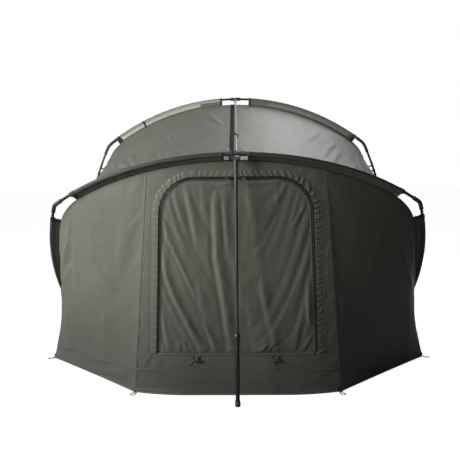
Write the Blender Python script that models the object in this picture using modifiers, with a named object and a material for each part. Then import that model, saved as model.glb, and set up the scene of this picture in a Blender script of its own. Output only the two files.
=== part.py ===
# Twin-hoop bivvy tent. Two aluminium hoops swivel on one axis in a pair of hub blocks, like a pram hood.
# A tension bar holds them apart, a storm pole props the front hoop, and the canopy hangs inside them.
# Metres. X is to the right, Y to the back, Z up. The origin lies on the ground, midway between the hubs.
import math

import bmesh
import bpy
from mathutils import Matrix, Vector

NAME = "bivvy_tent"

# Fits
GAP = 0.0004
SEAM_GAP = 0.0009
CLOTH = 0.0012
WEBBING = 0.002
FLAT = math.radians(1)
WELD = 0.00001

# Hoops
HOOP_RISE = 1.75
ARCH_RADIUS = 1.52
LEG_RADIUS = 2.40
MAIN_HALF_WIDTH = 1.145
FRONT_OUTSET = 0.026
MAIN_WIDEST_RISE = 0.525
FRONT_WIDEST_RISE = 0.480
MAIN_LEAN = math.radians(12.4)
FRONT_LEAN = math.radians(-45.4)
MAIN_BEND = 0.11
FRONT_BEND = 0.07
POLE_RADIUS = 0.008
POLE_STEP = 0.110
STEPS_PER_RADIAN = 6
ELBOW_RADIUS = 0.0112
ELBOW_BORE = 0.0094
ELBOW_REACH = 0.045

# Hub blocks and the knuckles that swivel on them
AXIS_HEIGHT = 0.055
EYE_RADIUS = 0.0185
EYE_WIDTH = 0.020
LUG_RADIUS = 0.0155
SOCKET_RADIUS = 0.0125
SOCKET_START = 0.030
SOCKET_TOP = 0.100
SOCKET_BORE = 0.0094
NECK_RADIUS = 0.0070
LEG_FOOT_RISE = 0.045
BOLT_RADIUS = 0.0055
BOLT_HEAD_RADIUS = 0.0105
BOLT_HEAD = 0.005
BASE_LENGTH = 0.13
BASE_MARGIN = 0.022
BASE_THICKNESS = 0.012

# Sleeves: a hem round the pole and a web down to the canopy seam
SEAM_DROP = 0.045
MAIN_SEAM_BEND = 0.26
FRONT_SEAM_BEND = 0.50
SEAM_ACROSS = 0.0026
SLEEVE_RADIUS = 0.0096
SLEEVE_MOUTH = math.radians(28)
WEB_SPACE = 0.0012
SEAM_LAP = 0.004
MAIN_SLEEVE_GAP = 0.104
FRONT_SLEEVE_GAP = 0.060
MAIN_ELBOW_CLEAR = 0.0013
FRONT_ELBOW_CLEAR = 0.075
LEG_ELBOW_CLEAR = 0.055
LEG_SLEEVE_FOOT = 0.17
TIE_ELBOW_CLEAR = 0.107
TIE_LENGTH = 0.048
TIE_ARM = 0.009

# Centre blocks, tension bar and storm pole
BLOCK_RADIUS = 0.0125
MAIN_BLOCK_HALF = 0.038
FRONT_BLOCK_HALF = 0.055
BLOCK_BORE = 0.0096
SPINDLE_HALF = 0.016
EAR = 0.006
EAR_RADIUS = 0.0095
EAR_TURN = math.radians(10)
BARREL_SEAT = SPINDLE_HALF + EAR * 1.4
PIN_RADIUS = 0.0035
BAR_PIN_FORWARD = 0.024
BAR_PIN_DROP = 0.012
POLE_PIN_FORWARD = 0.020
POLE_PIN_DROP = 0.026
BAR_INNER_RADIUS = 0.0068
BAR_OUTER_RADIUS = 0.0095
BAR_OUTER_BORE = 0.0074
BAR_OUTER_LENGTH = 0.385
BAR_OVERLAP = 0.09
CLIP_RADIUS = 0.0130
CLIP_BORE = 0.0086
CLIP_HALF = 0.011
CLIP_NECK = 0.028
CLIP_HEEL = 0.015
COLLAR_RADIUS = 0.0145
COLLAR_LENGTH = 0.048
STORM_UPPER_RADIUS = 0.0080
STORM_LOWER_RADIUS = 0.0110
STORM_LOWER_BORE = 0.0086
STORM_LOWER_LENGTH = 0.36
STORM_OVERLAP = 0.05
FOOT_RADIUS = 0.0150
FOOT_HEIGHT = 0.030

# Ground plan of the hem, right half
FRONT_CENTRE = Vector((0.0, -1.130, 0.0))
FRONT_CORNER = Vector((0.560, -1.085, 0.0))
FRONT_OUTER_OUTSET = 0.050
FRONT_OUTER = Vector((MAIN_HALF_WIDTH + FRONT_OUTER_OUTSET, -0.515, 0.0))
FRONT_HUB_INSET = 0.105
FRONT_HUB = Vector((MAIN_HALF_WIDTH - FRONT_HUB_INSET, -0.078, 0.0))
REAR_CENTRE = Vector((0.0, 1.2804, 0.0))
REAR_CORNER = Vector((0.570, 1.217, 0.0))
REAR_OUTER_OUTSET = 0.015
REAR_OUTER = Vector((MAIN_HALF_WIDTH + REAR_OUTER_OUTSET, 0.590, 0.0))
REAR_HUB_INSET = 0.115
REAR_HUB = Vector((MAIN_HALF_WIDTH - REAR_HUB_INSET, 0.078, 0.0))
HEM_LIFT = WEBBING + GAP
CORNER_TOP = 0.460
CREASE_RISE = 0.58
SEAM_FOOT_RISE = 0.10
ROOF_SAG_SHARE = 0.022
HEM_BOW_SHARE = 0.012
SEAM_STEPS = (9, 4, 8)
ACROSS_STEPS = 7
FRONT_SIDE_STEPS = (11, 4)
REAR_SIDE_STEPS = (8, 4)
DOWN_STEPS = 8

# Door, its zip and the gathered flap round it
DOOR_TOP = 1.165
DOOR_SILL = 0.232
SILL_FLAT = 0.26
DOOR_HALF_SILL = 0.433
DOOR_HALF_TOP = 0.392
DOOR_CORNER = 0.185
DOOR_STEPS = (3, 8, 7)
SILL_STEPS = 8
ZIP_HALF = 0.012
ZIP_CHAIN = 0.0035
FLAP_WIDTH = 0.048
FLAP_STAND = 0.0040
FLAP_CALM_SHARE = 0.55
RUFFLE = 0.009
RUFFLE_PITCH = 0.088
SLIDER_PARK = 0.042
SLIDER_LENGTH = 0.026
SLIDER_HEIGHT = 0.010
SLIDER_DEPTH = 0.006
PULLER_LENGTH = 0.042
PULLER_WIDTH = 0.008
TOGGLE_PARK = 0.212
TOGGLE_HEIGHT = 0.200
TOGGLE_LENGTH = 0.046
TOGGLE_RADIUS = 0.0052
TOGGLE_WAIST = 0.0046
TOGGLE_LOOP = 0.022
TOGGLE_TAPE = 0.010

# Peg loops
LOOP_LENGTH = 0.052
LOOP_WIDTH = 0.030
LOOP_TAPE = 0.008
PEG_LOOPS = (
    ("front", FRONT_CORNER, Vector((0.35, -1.0, 0.0))),
    ("outer", FRONT_OUTER, Vector((1.0, -0.45, 0.0))),
    ("rear", REAR_CORNER, Vector((0.35, 1.0, 0.0))),
)

parts = bpy.data.collections.new(NAME)
cutters = bpy.data.collections.new("cutters")


def clear_scene():
    for old in list(bpy.data.objects):
        bpy.data.objects.remove(old, do_unlink=True)
    bpy.context.scene.collection.children.link(parts)
    bpy.context.scene.collection.children.link(cutters)


def material(name, colour, roughness, metallic=0.0):
    made = bpy.data.materials.new(name)
    made.use_nodes = True
    shader = made.node_tree.nodes["Principled BSDF"]
    shader.inputs["Base Color"].default_value = (*colour, 1.0)
    shader.inputs["Roughness"].default_value = roughness
    shader.inputs["Metallic"].default_value = metallic
    return made


def add(name, data, finish):
    made = bpy.data.objects.new(name, data)
    data.materials.append(finish)
    parts.objects.link(made)
    return made


def as_cutter(made):
    for home in made.users_collection:
        home.objects.unlink(made)
    cutters.objects.link(made)
    made.hide_render = True
    made.display_type = "WIRE"
    return made


# The centre line of a hoop, in its own plane: an arch, an elbow and a leg arc, each tangent to the next.
# A place on it is named by the direction of its outward normal, an angle from straight up.
class Hoop:
    def __init__(self, lean, half_width, widest_rise, bend, inset=0.0):
        self.up = Vector((0.0, math.sin(lean), math.cos(lean)))
        self.back = Vector((0.0, math.cos(lean), -math.sin(lean)))
        self.arch = ((0.0, HOOP_RISE - ARCH_RADIUS), ARCH_RADIUS - inset)
        self.leg = ((half_width - LEG_RADIUS, widest_rise), LEG_RADIUS - inset)
        centre = self.meeting(self.arch[1] - bend, self.leg[1] - bend)
        self.elbow = (centre, bend)
        self.bend_start = math.atan2(centre[0] - self.arch[0][0], centre[1] - self.arch[0][1])
        self.bend_end = math.atan2(centre[0] - self.leg[0][0], centre[1] - self.leg[0][1])

    def meeting(self, arch_reach, leg_reach):
        (ax, ar), (lx, lr) = self.arch[0], self.leg[0]
        span = math.hypot(lx - ax, lr - ar)
        along = (arch_reach**2 - leg_reach**2 + span**2) / (2 * span)
        aside = math.sqrt(arch_reach**2 - along**2)
        ux, ur = (lx - ax) / span, (lr - ar) / span
        return (ax + ux * along + ur * aside, ar + ur * along - ux * aside)

    def arc(self, angle):
        if angle < self.bend_start:
            return self.arch
        return self.elbow if angle < self.bend_end else self.leg

    def flat(self, angle, out=0.0):
        (cx, cr), radius = self.arc(angle)
        return cx + (radius + out) * math.sin(angle), cr + (radius + out) * math.cos(angle)

    def at(self, angle, side=1, out=0.0, across=0.0):
        wide, rise = self.flat(angle, out)
        place = self.up * rise + self.back * across
        return Vector((side * wide, place.y, place.z + AXIS_HEIGHT))

    def outward(self, angle, side=1):
        return Vector((side * math.sin(angle), 0.0, 0.0)) + self.up * math.cos(angle)

    def at_width(self, wide):
        return math.asin(wide / self.arch[1])

    def at_rise(self, rise):
        return math.acos((rise - self.leg[0][1]) / self.leg[1])

    def above_elbow(self, distance):
        return self.bend_start - (ELBOW_REACH + distance) / ARCH_RADIUS

    def below_elbow(self, distance):
        return self.bend_end + (ELBOW_REACH + distance) / LEG_RADIUS

    def stops(self, *marks, step=POLE_STEP):
        inner = [a for a in (self.bend_start, self.bend_end) if marks[0] < a < marks[-1]]
        marks = sorted({*marks, *inner})
        found = [marks[0]]
        for low, high in zip(marks, marks[1:]):
            radius = self.arc((low + high) / 2)[1]
            turn = high - low
            count = max(1, math.ceil(radius * turn / step), math.ceil(turn * STEPS_PER_RADIAN))
            found += [low + turn * i / count for i in range(1, count + 1)]
        return found


MAIN_SHAPE = (MAIN_LEAN, MAIN_HALF_WIDTH, MAIN_WIDEST_RISE)
FRONT_SHAPE = (FRONT_LEAN, MAIN_HALF_WIDTH + FRONT_OUTSET, FRONT_WIDEST_RISE)
main_pole = Hoop(*MAIN_SHAPE, MAIN_BEND)
front_pole = Hoop(*FRONT_SHAPE, FRONT_BEND)
main_seam = Hoop(*MAIN_SHAPE, MAIN_SEAM_BEND, SEAM_DROP)
front_seam = Hoop(*FRONT_SHAPE, FRONT_SEAM_BEND, SEAM_DROP)


def tube(name, points, radius, finish, sides=2, capped=True):
    curve = bpy.data.curves.new(name, "CURVE")
    curve.dimensions = "3D"
    curve.bevel_depth = radius
    curve.bevel_resolution = sides
    curve.use_fill_caps = capped
    line = curve.splines.new("POLY")
    line.points.add(len(points) - 1)
    for target, place in zip(line.points, points):
        target.co = (*place, 1.0)
    return add(name, curve, finish)


def made_mesh(made):
    # A curve becomes a mesh with its caps welded, so that it can take modifiers.
    graph = bpy.context.evaluated_depsgraph_get()
    mesh = bpy.data.meshes.new_from_object(made.evaluated_get(graph))
    shape = bmesh.new()
    shape.from_mesh(mesh)
    bmesh.ops.remove_doubles(shape, verts=shape.verts, dist=WELD)
    shape.to_mesh(mesh)
    shape.free()
    name, place = made.name, made.matrix_world.copy()
    finish = made.data.materials[0]
    bpy.data.objects.remove(made, do_unlink=True)
    mesh.materials.clear()
    solid = add(name, mesh, finish)
    solid.matrix_world = place
    return solid


def thicken(made, thickness, offset=0.0):
    shell = made.modifiers.new("wall", "SOLIDIFY")
    shell.thickness = thickness
    shell.offset = offset
    return made


def sheet(name, rows, finish, thickness=CLOTH, ring=False):
    # A lofted cloth: rows of points, each row as long as the next, given a thickness.
    shape = bmesh.new()
    grid = [[shape.verts.new(p) for p in row] for row in rows]
    for near, far in zip(grid, grid[1:]):
        count = len(near)
        for i in range(count if ring else count - 1):
            j = (i + 1) % count
            shape.faces.new((near[i], near[j], far[j], far[i]))
    mesh = bpy.data.meshes.new(name)
    shape.to_mesh(mesh)
    shape.free()
    mesh.shade_smooth()
    return thicken(add(name, mesh, finish), thickness)


def rod(name, start, end, radius, finish, sides=12):
    # A plain cylinder between two points.
    shape = bmesh.new()
    span = end - start
    bmesh.ops.create_cone(
        shape, cap_ends=True, segments=sides, radius1=radius, radius2=radius, depth=span.length
    )
    turn = span.to_track_quat("Z", "Y").to_matrix().to_4x4()
    bmesh.ops.transform(shape, matrix=Matrix.Translation((start + end) / 2) @ turn, verts=shape.verts)
    mesh = bpy.data.meshes.new(name)
    shape.to_mesh(mesh)
    shape.free()
    return add(name, mesh, finish)


def block(name, low, high, finish, bevel=0.0):
    shape = bmesh.new()
    bmesh.ops.create_cube(shape, size=1.0)
    bmesh.ops.scale(shape, vec=high - low, verts=shape.verts)
    bmesh.ops.translate(shape, vec=(low + high) / 2, verts=shape.verts)
    mesh = bpy.data.meshes.new(name)
    shape.to_mesh(mesh)
    shape.free()
    made = add(name, mesh, finish)
    if bevel:
        edge = made.modifiers.new("edges", "BEVEL")
        edge.width = bevel
        edge.segments = 2
    return made


def turned(name, profile, place, direction, finish, steps=14):
    # A profile of (radius, height) pairs, running down its outer side, turned about the line through place.
    shape = bmesh.new()
    line = [shape.verts.new((radius, 0.0, height)) for radius, height in profile]
    for a, b in zip(line, line[1:]):
        shape.edges.new((a, b))
    if profile[0][0] > 0.0:
        shape.edges.new((line[-1], line[0]))
    mesh = bpy.data.meshes.new(name)
    shape.to_mesh(mesh)
    shape.free()
    made = add(name, mesh, finish)
    made.matrix_world = Matrix.Translation(place) @ direction.to_track_quat("Z", "Y").to_matrix().to_4x4()
    screw = made.modifiers.new("turn", "SCREW")
    screw.steps = steps
    screw.render_steps = steps
    screw.use_merge_vertices = True
    screw.merge_threshold = WELD
    return made


def pipe_profile(outer, bore, length):
    return [(outer, length), (outer, 0.0), (bore, 0.0), (bore, length)]


def combine(made, tool, operation):
    as_cutter(tool)
    step = made.modifiers.new(operation.lower(), "BOOLEAN")
    step.operation = operation
    step.object = tool
    step.solver = "EXACT"
    return made


# Hoop pieces: poles, elbows, knuckles and sleeves
def leg_line(hoop):
    angle = hoop.at_rise(LEG_FOOT_RISE)
    lean = Vector((-math.cos(angle), math.sin(angle)))
    wide, rise = hoop.flat(angle)
    return wide - rise * lean.x / lean.y, lean


def on_leg_line(hoop, side, reach):
    eye, lean = leg_line(hoop)
    place = hoop.up * (lean.y * reach)
    return Vector((side * (eye + lean.x * reach), place.y, place.z + AXIS_HEIGHT))


def hoop_poles(label, hoop, side, where, start, sleeve, leg_sleeve):
    arch = hoop.stops(hoop.at_width(start), *sleeve, hoop.bend_start)
    tube(f"{label}_arch_{where}", [hoop.at(a, side) for a in arch], POLE_RADIUS, aluminium)
    foot = hoop.at_rise(LEG_FOOT_RISE + GAP)
    leg = hoop.stops(hoop.bend_end, *leg_sleeve, foot)
    tube(f"{label}_leg_{where}", [hoop.at(a, side) for a in leg], POLE_RADIUS, aluminium)
    bend = hoop.stops(hoop.above_elbow(0.0), hoop.below_elbow(0.0), step=ELBOW_REACH)
    bent = [hoop.at(a, side) for a in bend]
    elbow = made_mesh(tube(f"{label}_elbow_{where}", bent, ELBOW_RADIUS, moulding, capped=False))
    thicken(elbow, ELBOW_RADIUS - ELBOW_BORE, offset=-1.0)


def knuckle(label, hoop, side, where):
    eye, _ = leg_line(hoop)
    centre = Vector((side * eye, 0.0, AXIS_HEIGHT))
    half = Vector((EYE_WIDTH / 2, 0.0, 0.0))
    name = f"{label}_knuckle_{where}"
    made = rod(name, centre - half, centre + half, EYE_RADIUS, moulding, sides=20)
    neck = rod(f"{name}_neck", centre, on_leg_line(hoop, side, LEG_FOOT_RISE), NECK_RADIUS, moulding)
    combine(made, neck, "UNION")
    low, high = on_leg_line(hoop, side, SOCKET_START), on_leg_line(hoop, side, SOCKET_TOP)
    combine(made, rod(f"{name}_socket", low, high, SOCKET_RADIUS, moulding), "UNION")
    seat = on_leg_line(hoop, side, LEG_FOOT_RISE - GAP)
    bore_end = on_leg_line(hoop, side, SOCKET_TOP + GAP)
    combine(made, rod(f"{name}_bore", seat, bore_end, SOCKET_BORE, moulding), "DIFFERENCE")
    hole = rod(f"{name}_hole", centre - half * 2, centre + half * 2, BOLT_RADIUS + GAP, moulding)
    combine(made, hole, "DIFFERENCE")


def half_turn(count):
    return [math.pi * t for t in shares(count)]


def hub_block(side, where):
    inner, outer = leg_line(main_pole)[0], leg_line(front_pole)[0]
    half = EYE_WIDTH / 2
    edges = sorted((side * (inner - half - BASE_MARGIN), side * (outer + half + BASE_MARGIN)))
    low = Vector((edges[0], -BASE_LENGTH / 2, 0.0))
    high = Vector((edges[1], BASE_LENGTH / 2, BASE_THICKNESS))
    name = f"hub_block_{where}"
    made = block(name, low, high, moulding, bevel=BASE_THICKNESS / 4)
    lug = (side * (inner + half + GAP), side * (outer - half - GAP))
    ends = []
    for x in lug:
        feet = [Vector((x, y * LUG_RADIUS * 1.5, BASE_THICKNESS / 2)) for y in (-1, 1)]
        rim = [Vector((0.0, math.cos(a), math.sin(a))) * LUG_RADIUS for a in half_turn(8)]
        ends.append(feet + [Vector((x, 0.0, AXIS_HEIGHT)) + p for p in rim])
    combine(made, box_from(f"{name}_lug", *ends), "UNION")
    bolt_ends = (side * (inner - half - GAP), side * (outer + half + GAP))
    reach = (bolt_ends[0] - side * BOLT_HEAD / 2, bolt_ends[1] + side * BOLT_HEAD / 2)
    combine(made, rod(f"{name}_bolt", *axle(*reach), BOLT_RADIUS, moulding), "UNION")
    for end, way in zip(bolt_ends, (-side, side)):
        head = rod(f"{name}_head", *axle(end, end + way * BOLT_HEAD), BOLT_HEAD_RADIUS, moulding, sides=6)
        combine(made, head, "UNION")


def axle(start, end):
    return Vector((start, 0.0, AXIS_HEIGHT)), Vector((end, 0.0, AXIS_HEIGHT))


def sleeve(name, hoop, side, start, end, finish):
    # Cloth runs down one side of the web, round the pole and up the other side.
    lap = WEB_SPACE / 2 + CLOTH / 2
    turn_start = math.asin(lap / SLEEVE_RADIUS) + SLEEVE_MOUTH
    around = [turn_start + (2 * math.pi - 2 * turn_start) * t for t in shares(6)]
    foot = -SEAM_DROP - SEAM_LAP
    profile = [(foot, -lap), (-SLEEVE_RADIUS * 1.5, -lap)]
    profile += [(-SLEEVE_RADIUS * math.cos(a), -SLEEVE_RADIUS * math.sin(a)) for a in around]
    profile += [(-SLEEVE_RADIUS * 1.5, lap), (foot, lap)]
    rows = [[hoop.at(a, side, out, across) for out, across in profile] for a in hoop.stops(start, end)]
    return sheet(name, rows, finish)


def main_hoop(side, where):
    span = (main_pole.at_width(MAIN_SLEEVE_GAP), main_pole.above_elbow(MAIN_ELBOW_CLEAR))
    tie_top = main_pole.below_elbow(TIE_ELBOW_CLEAR)
    tie = (tie_top, tie_top + TIE_LENGTH / LEG_RADIUS)
    hoop_poles("main", main_pole, side, where, GAP, span, tie)
    knuckle("main", main_pole, side, where)
    sleeve(f"main_sleeve_{where}", main_pole, side, *span, canopy)
    made = sleeve(f"leg_tie_{where}", main_pole, side, *tie, webbing)
    # The web is cut open between two arms, which leaves the pair of short ties.
    arm = TIE_ARM / LEG_RADIUS
    high, low = tie[0] + arm, tie[1] - arm
    web = (-SEAM_DROP + TIE_ARM, -SLEEVE_RADIUS * 1.5)
    corners = [main_pole.at(a, side, out) for a in (high, low) for out in web]
    rows = [[p + main_pole.back * d for p in corners[:2]] for d in (-EAR, EAR)]
    rows_low = [[p + main_pole.back * d for p in corners[2:]] for d in (EAR, -EAR)]
    window = box_from(f"leg_tie_window_{where}", [*rows[0], *rows[1]], [*rows_low[0], *rows_low[1]])
    combine(made, window, "DIFFERENCE")


def box_from(name, top, bottom):
    # The convex solid between two loops of corners.
    shape = bmesh.new()
    for corner in (*top, *bottom):
        shape.verts.new(corner)
    hull = bmesh.ops.convex_hull(shape, input=shape.verts)
    inside = [v for v in hull["geom_interior"] if isinstance(v, bmesh.types.BMVert)]
    bmesh.ops.delete(shape, geom=inside, context="VERTS")
    bmesh.ops.dissolve_limit(shape, angle_limit=FLAT, verts=shape.verts, edges=shape.edges)
    mesh = bpy.data.meshes.new(name)
    shape.to_mesh(mesh)
    shape.free()
    return add(name, mesh, webbing)


def front_hoop(side, where):
    span = (front_pole.at_width(FRONT_SLEEVE_GAP), front_pole.above_elbow(FRONT_ELBOW_CLEAR))
    leg_span = (front_pole.below_elbow(LEG_ELBOW_CLEAR), front_pole.at_rise(LEG_SLEEVE_FOOT))
    hoop_poles("front", front_pole, side, where, BARREL_SEAT + GAP, span, leg_span)
    knuckle("front", front_pole, side, where)
    sleeve(f"front_sleeve_{where}", front_pole, side, *span, dark_canopy)
    sleeve(f"leg_sleeve_{where}", front_pole, side, *leg_span, dark_canopy)


# Centre blocks on the crown of each hoop
def crown_of(hoop):
    return hoop.at(0.0)


def bar_pin():
    return crown_of(main_pole) + Vector((0.0, -BAR_PIN_FORWARD, -BAR_PIN_DROP))


def pole_pin():
    return crown_of(front_pole) + Vector((0.0, -POLE_PIN_FORWARD, -POLE_PIN_DROP))


def along_x(centre, start, end):
    return centre + Vector((start, 0.0, 0.0)), centre + Vector((end, 0.0, 0.0))


def ears(made, crown, pin, inner):
    # Two flat ears reach from the block to the pin between them.
    for side in (-1, 1):
        turns = [2 * math.pi * t + EAR_TURN for t in shares(12)[:-1]]
        rim = [Vector((0.0, math.cos(a), math.sin(a))) * EAR_RADIUS for a in turns]
        outline = [place + p for place, size in ((crown, 0.9), (pin, 1.0)) for p in [q * size for q in rim]]
        near, far = Vector((side * inner, 0.0, 0.0)), Vector((side * (inner + EAR), 0.0, 0.0))
        ear = box_from(f"{made.name}_ear", [p + near for p in outline], [p + far for p in outline])
        combine(made, ear, "UNION")
    reach = inner + EAR + GAP
    combine(made, rod(f"{made.name}_pin", *along_x(pin, -reach, reach), PIN_RADIUS, moulding), "UNION")


def main_centre_block():
    crown = crown_of(main_pole)
    ends = along_x(crown, -MAIN_BLOCK_HALF, MAIN_BLOCK_HALF)
    made = rod("main_centre_block", *ends, BLOCK_RADIUS, moulding, sides=16)
    ears(made, crown, bar_pin(), BAR_INNER_RADIUS + GAP * 2)
    reach = MAIN_BLOCK_HALF + GAP
    bore = rod("main_block_bore", *along_x(crown, -reach, reach), BLOCK_BORE, moulding)
    combine(made, bore, "DIFFERENCE")


def front_centre_block():
    # Two barrels hold the hoop's poles, and the bare spindle between them takes the tension bar's clip.
    crown = crown_of(front_pole)
    shoulder, seat = SPINDLE_HALF + EAR / 2, BARREL_SEAT
    half = [(POLE_RADIUS, shoulder), (BLOCK_RADIUS, shoulder), (BLOCK_RADIUS, FRONT_BLOCK_HALF)]
    half += [(BLOCK_BORE, FRONT_BLOCK_HALF), (BLOCK_BORE, seat), (0.0, seat)]
    profile = [*reversed(half), *[(radius, -along) for radius, along in half]]
    made = turned("front_centre_block", profile, crown, Vector((1.0, 0.0, 0.0)), moulding)
    ears(made, crown, pole_pin(), SPINDLE_HALF)


# Tension bar, from the main hoop's pin forward to the front hoop's spindle
def bar_way():
    return (crown_of(front_pole) - bar_pin()).normalized()


def tension_bar():
    way = bar_way()
    start = bar_pin()
    spindle = crown_of(front_pole)
    clip_end = spindle - way * (CLIP_BORE + CLIP_NECK)
    outer_start = clip_end - way * BAR_OUTER_LENGTH
    inner_end = outer_start + way * BAR_OVERLAP
    inner_start = start + way * EAR_RADIUS / 2
    inner = rod("bar_inner_tube", inner_start, inner_end, BAR_INNER_RADIUS, bright_aluminium)
    half = Vector((BAR_INNER_RADIUS + GAP, 0.0, 0.0))
    combine(inner, rod("bar_eye", start - half, start + half, EAR_RADIUS, bright_aluminium), "UNION")
    hole = rod("bar_eye_hole", start - half * 2, start + half * 2, PIN_RADIUS + GAP, moulding)
    combine(inner, hole, "DIFFERENCE")
    profile = pipe_profile(BAR_OUTER_RADIUS, BAR_OUTER_BORE, BAR_OUTER_LENGTH - GAP)
    turned("bar_outer_tube", profile, outer_start, way, bright_aluminium, steps=12)
    collar(outer_start, way, "bar_collar", BAR_INNER_RADIUS, BAR_OUTER_RADIUS)
    bar_clip(spindle, way, clip_end)


def collar(mouth, way, name, inner, outer):
    # A twist collar: a ribbed grip over the mouth of the outer tube, closing down on the inner tube.
    grip, tip = COLLAR_RADIUS, (COLLAR_RADIUS + outer) / 2
    back = COLLAR_LENGTH / 4
    profile = [
        (tip, COLLAR_LENGTH - back),
        (grip, COLLAR_LENGTH * 0.6),
        (grip, 0.0),
        (tip, -back),
        (inner + GAP * 2, -back),
        (inner + GAP * 2, -GAP),
        (outer + GAP, -GAP),
        (outer + GAP, COLLAR_LENGTH - back),
    ]
    return turned(name, profile, mouth, way, moulding)


def bar_clip(spindle, way, clip_end):
    # A saddle that sits on the spindle. Its mouth faces down, so that the bar lifts off as the hoops fold.
    opening = Vector((0.0, -way.z, way.y))
    half = Vector((CLIP_HALF, 0.0, 0.0))
    made = rod("bar_clip", spindle - half, spindle + half, CLIP_RADIUS, moulding, sides=20)
    neck_start = spindle - way * (CLIP_BORE + GAP)
    neck = rod("clip_neck", clip_end, neck_start, BAR_OUTER_RADIUS, moulding)
    combine(made, neck, "UNION")
    plug_end = clip_end + way * CLIP_NECK / 3
    plug = rod("clip_plug", clip_end - way * CLIP_NECK, plug_end, BAR_OUTER_BORE - GAP, moulding)
    combine(made, plug, "UNION")
    bore = rod("clip_bore", spindle - half * 2, spindle + half * 2, CLIP_BORE, moulding, sides=20)
    combine(made, bore, "DIFFERENCE")
    lip, heel = way * CLIP_RADIUS * 2, -way * CLIP_HEEL
    near = spindle - opening * GAP
    far = spindle + opening * CLIP_RADIUS * 2
    loop = [near + heel, near + lip, far + lip, far + heel]
    cut = box_from("clip_mouth", [p - half * 2 for p in loop], [p + half * 2 for p in loop])
    combine(made, cut, "DIFFERENCE")


def storm_pole():
    pin = pole_pin()
    down = Vector((0.0, 0.0, -1.0))
    ground = Vector((pin.x, pin.y, 0.0))
    mouth = ground + Vector((0.0, 0.0, FOOT_HEIGHT / 3 + STORM_LOWER_LENGTH))
    half = Vector((SPINDLE_HALF - GAP, 0.0, 0.0))
    lug = rod("storm_top_lug", pin - half, pin + half, EAR_RADIUS, moulding)
    cap_foot = pin + down * EAR_RADIUS * 4
    combine(lug, rod("lug_cap", pin, cap_foot, STORM_UPPER_RADIUS + EAR / 2, moulding), "UNION")
    combine(lug, rod("lug_hole", pin - half * 2, pin + half * 2, PIN_RADIUS + GAP, moulding), "DIFFERENCE")
    seat = pin + down * EAR_RADIUS * 2
    bore_end = cap_foot + down * GAP
    combine(lug, rod("lug_bore", seat, bore_end, STORM_UPPER_RADIUS + GAP * 2, moulding), "DIFFERENCE")
    tube_foot = mouth + down * STORM_OVERLAP
    rod("storm_upper_tube", tube_foot, seat + down * GAP, STORM_UPPER_RADIUS, aluminium, sides=12)
    lower = pipe_profile(STORM_LOWER_RADIUS, STORM_LOWER_BORE, STORM_LOWER_LENGTH)
    turned("storm_lower_tube", lower, mouth, down, aluminium, steps=12)
    collar(mouth, down, "storm_collar", STORM_UPPER_RADIUS, STORM_LOWER_RADIUS)
    rim = STORM_LOWER_RADIUS + GAP
    foot = [
        (0.0, FOOT_HEIGHT / 3 - GAP),
        (rim, FOOT_HEIGHT / 3 - GAP),
        (rim, FOOT_HEIGHT),
        (FOOT_RADIUS * 0.92, FOOT_HEIGHT),
        (FOOT_RADIUS, FOOT_HEIGHT / 4),
        (FOOT_RADIUS * 0.8, 0.0),
        (0.0, 0.0),
    ]
    turned("storm_foot", foot, ground, Vector((0.0, 0.0, 1.0)), rubber)


# Canopy. Each panel is a loft between a hoop's seam and either the other hoop's seam or the hem.
def mirrored(place, side):
    return Vector((side * place.x, place.y, place.z))


def shares(count):
    return [i / count for i in range(count + 1)]


def seam_pairs(start, end, counts):
    # Matching angles on the two seams. The parts meet at 0 crown, 1 bend start, 2 bend end, 3 foot.
    pairs = []
    ends = []
    for hoop in (main_seam, front_seam):
        crown = hoop.at_width(SEAM_GAP / 2)
        ends.append((crown, hoop.bend_start, hoop.bend_end, hoop.at_rise(SEAM_FOOT_RISE)))
    for part in range(start, end):
        steps = shares(counts[part])
        for t in steps if part == start else steps[1:]:
            pairs.append([e[part] + (e[part + 1] - e[part]) * t for e in ends])
    return pairs


def between_hoops(angles, side):
    main_angle, front_angle = angles
    start = main_seam.at(main_angle, side, across=-SEAM_ACROSS)
    end = front_seam.at(front_angle, side, across=SEAM_ACROSS)
    out = (main_seam.outward(main_angle, side) + front_seam.outward(front_angle, side)).normalized()
    sag = (end - start).length * ROOF_SAG_SHARE
    return [start.lerp(end, t) - out * (4 * t * (1 - t) * sag) for t in shares(ACROSS_STEPS)]


def roof_panel(side, where):
    pairs = seam_pairs(0, 2, SEAM_STEPS)
    bends = (MAIN_SEAM_BEND, FRONT_SEAM_BEND)
    pairs[-1] = [a - SEAM_GAP / bend for a, bend in zip(pairs[-1], bends)]
    sheet(f"roof_panel_{where}", [between_hoops(p, side) for p in pairs], canopy)


def side_wall(side, where):
    pairs = seam_pairs(2, 3, SEAM_STEPS)
    rows = [between_hoops(p, side) for p in pairs]
    low, high = mirrored(REAR_HUB, side), mirrored(FRONT_HUB, side)
    shift = Vector((0.0, SEAM_GAP / 2, 0.0))
    lift = Vector((0.0, 0.0, HEM_LIFT))
    rows.append([(low - shift).lerp(high + shift, t) + lift for t in shares(ACROSS_STEPS)])
    sheet(f"side_wall_{where}", rows, dark_canopy)


def panel_columns(seam, across, corners, side, counts):
    # Columns from the seam down to the hem: first to the corner, then to the outer corner, then to the hub.
    corner, outer, hub = corners
    marks = [seam.at_width(CORNER_TOP), seam.at_rise(CREASE_RISE), seam.at_rise(SEAM_FOOT_RISE)]
    pairs = []
    for part, count in enumerate(counts):
        spots = shares(count)
        for t in spots if part == 0 else spots[1:]:
            angle = marks[part] + (marks[part + 1] - marks[part]) * t
            hem = (corner, outer)[part].lerp((outer, hub)[part], t)
            chord = (outer, hub)[part] - (corner, outer)[part]
            inward = Vector((chord.y, -chord.x, 0.0)) * HEM_BOW_SHARE
            if inward.dot(corner) > 0:
                inward = -inward
            hem = hem + inward * (4 * t * (1 - t))
            pairs.append((seam.at(angle, side, across=across), mirrored(hem, side)))
    return pairs


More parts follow.
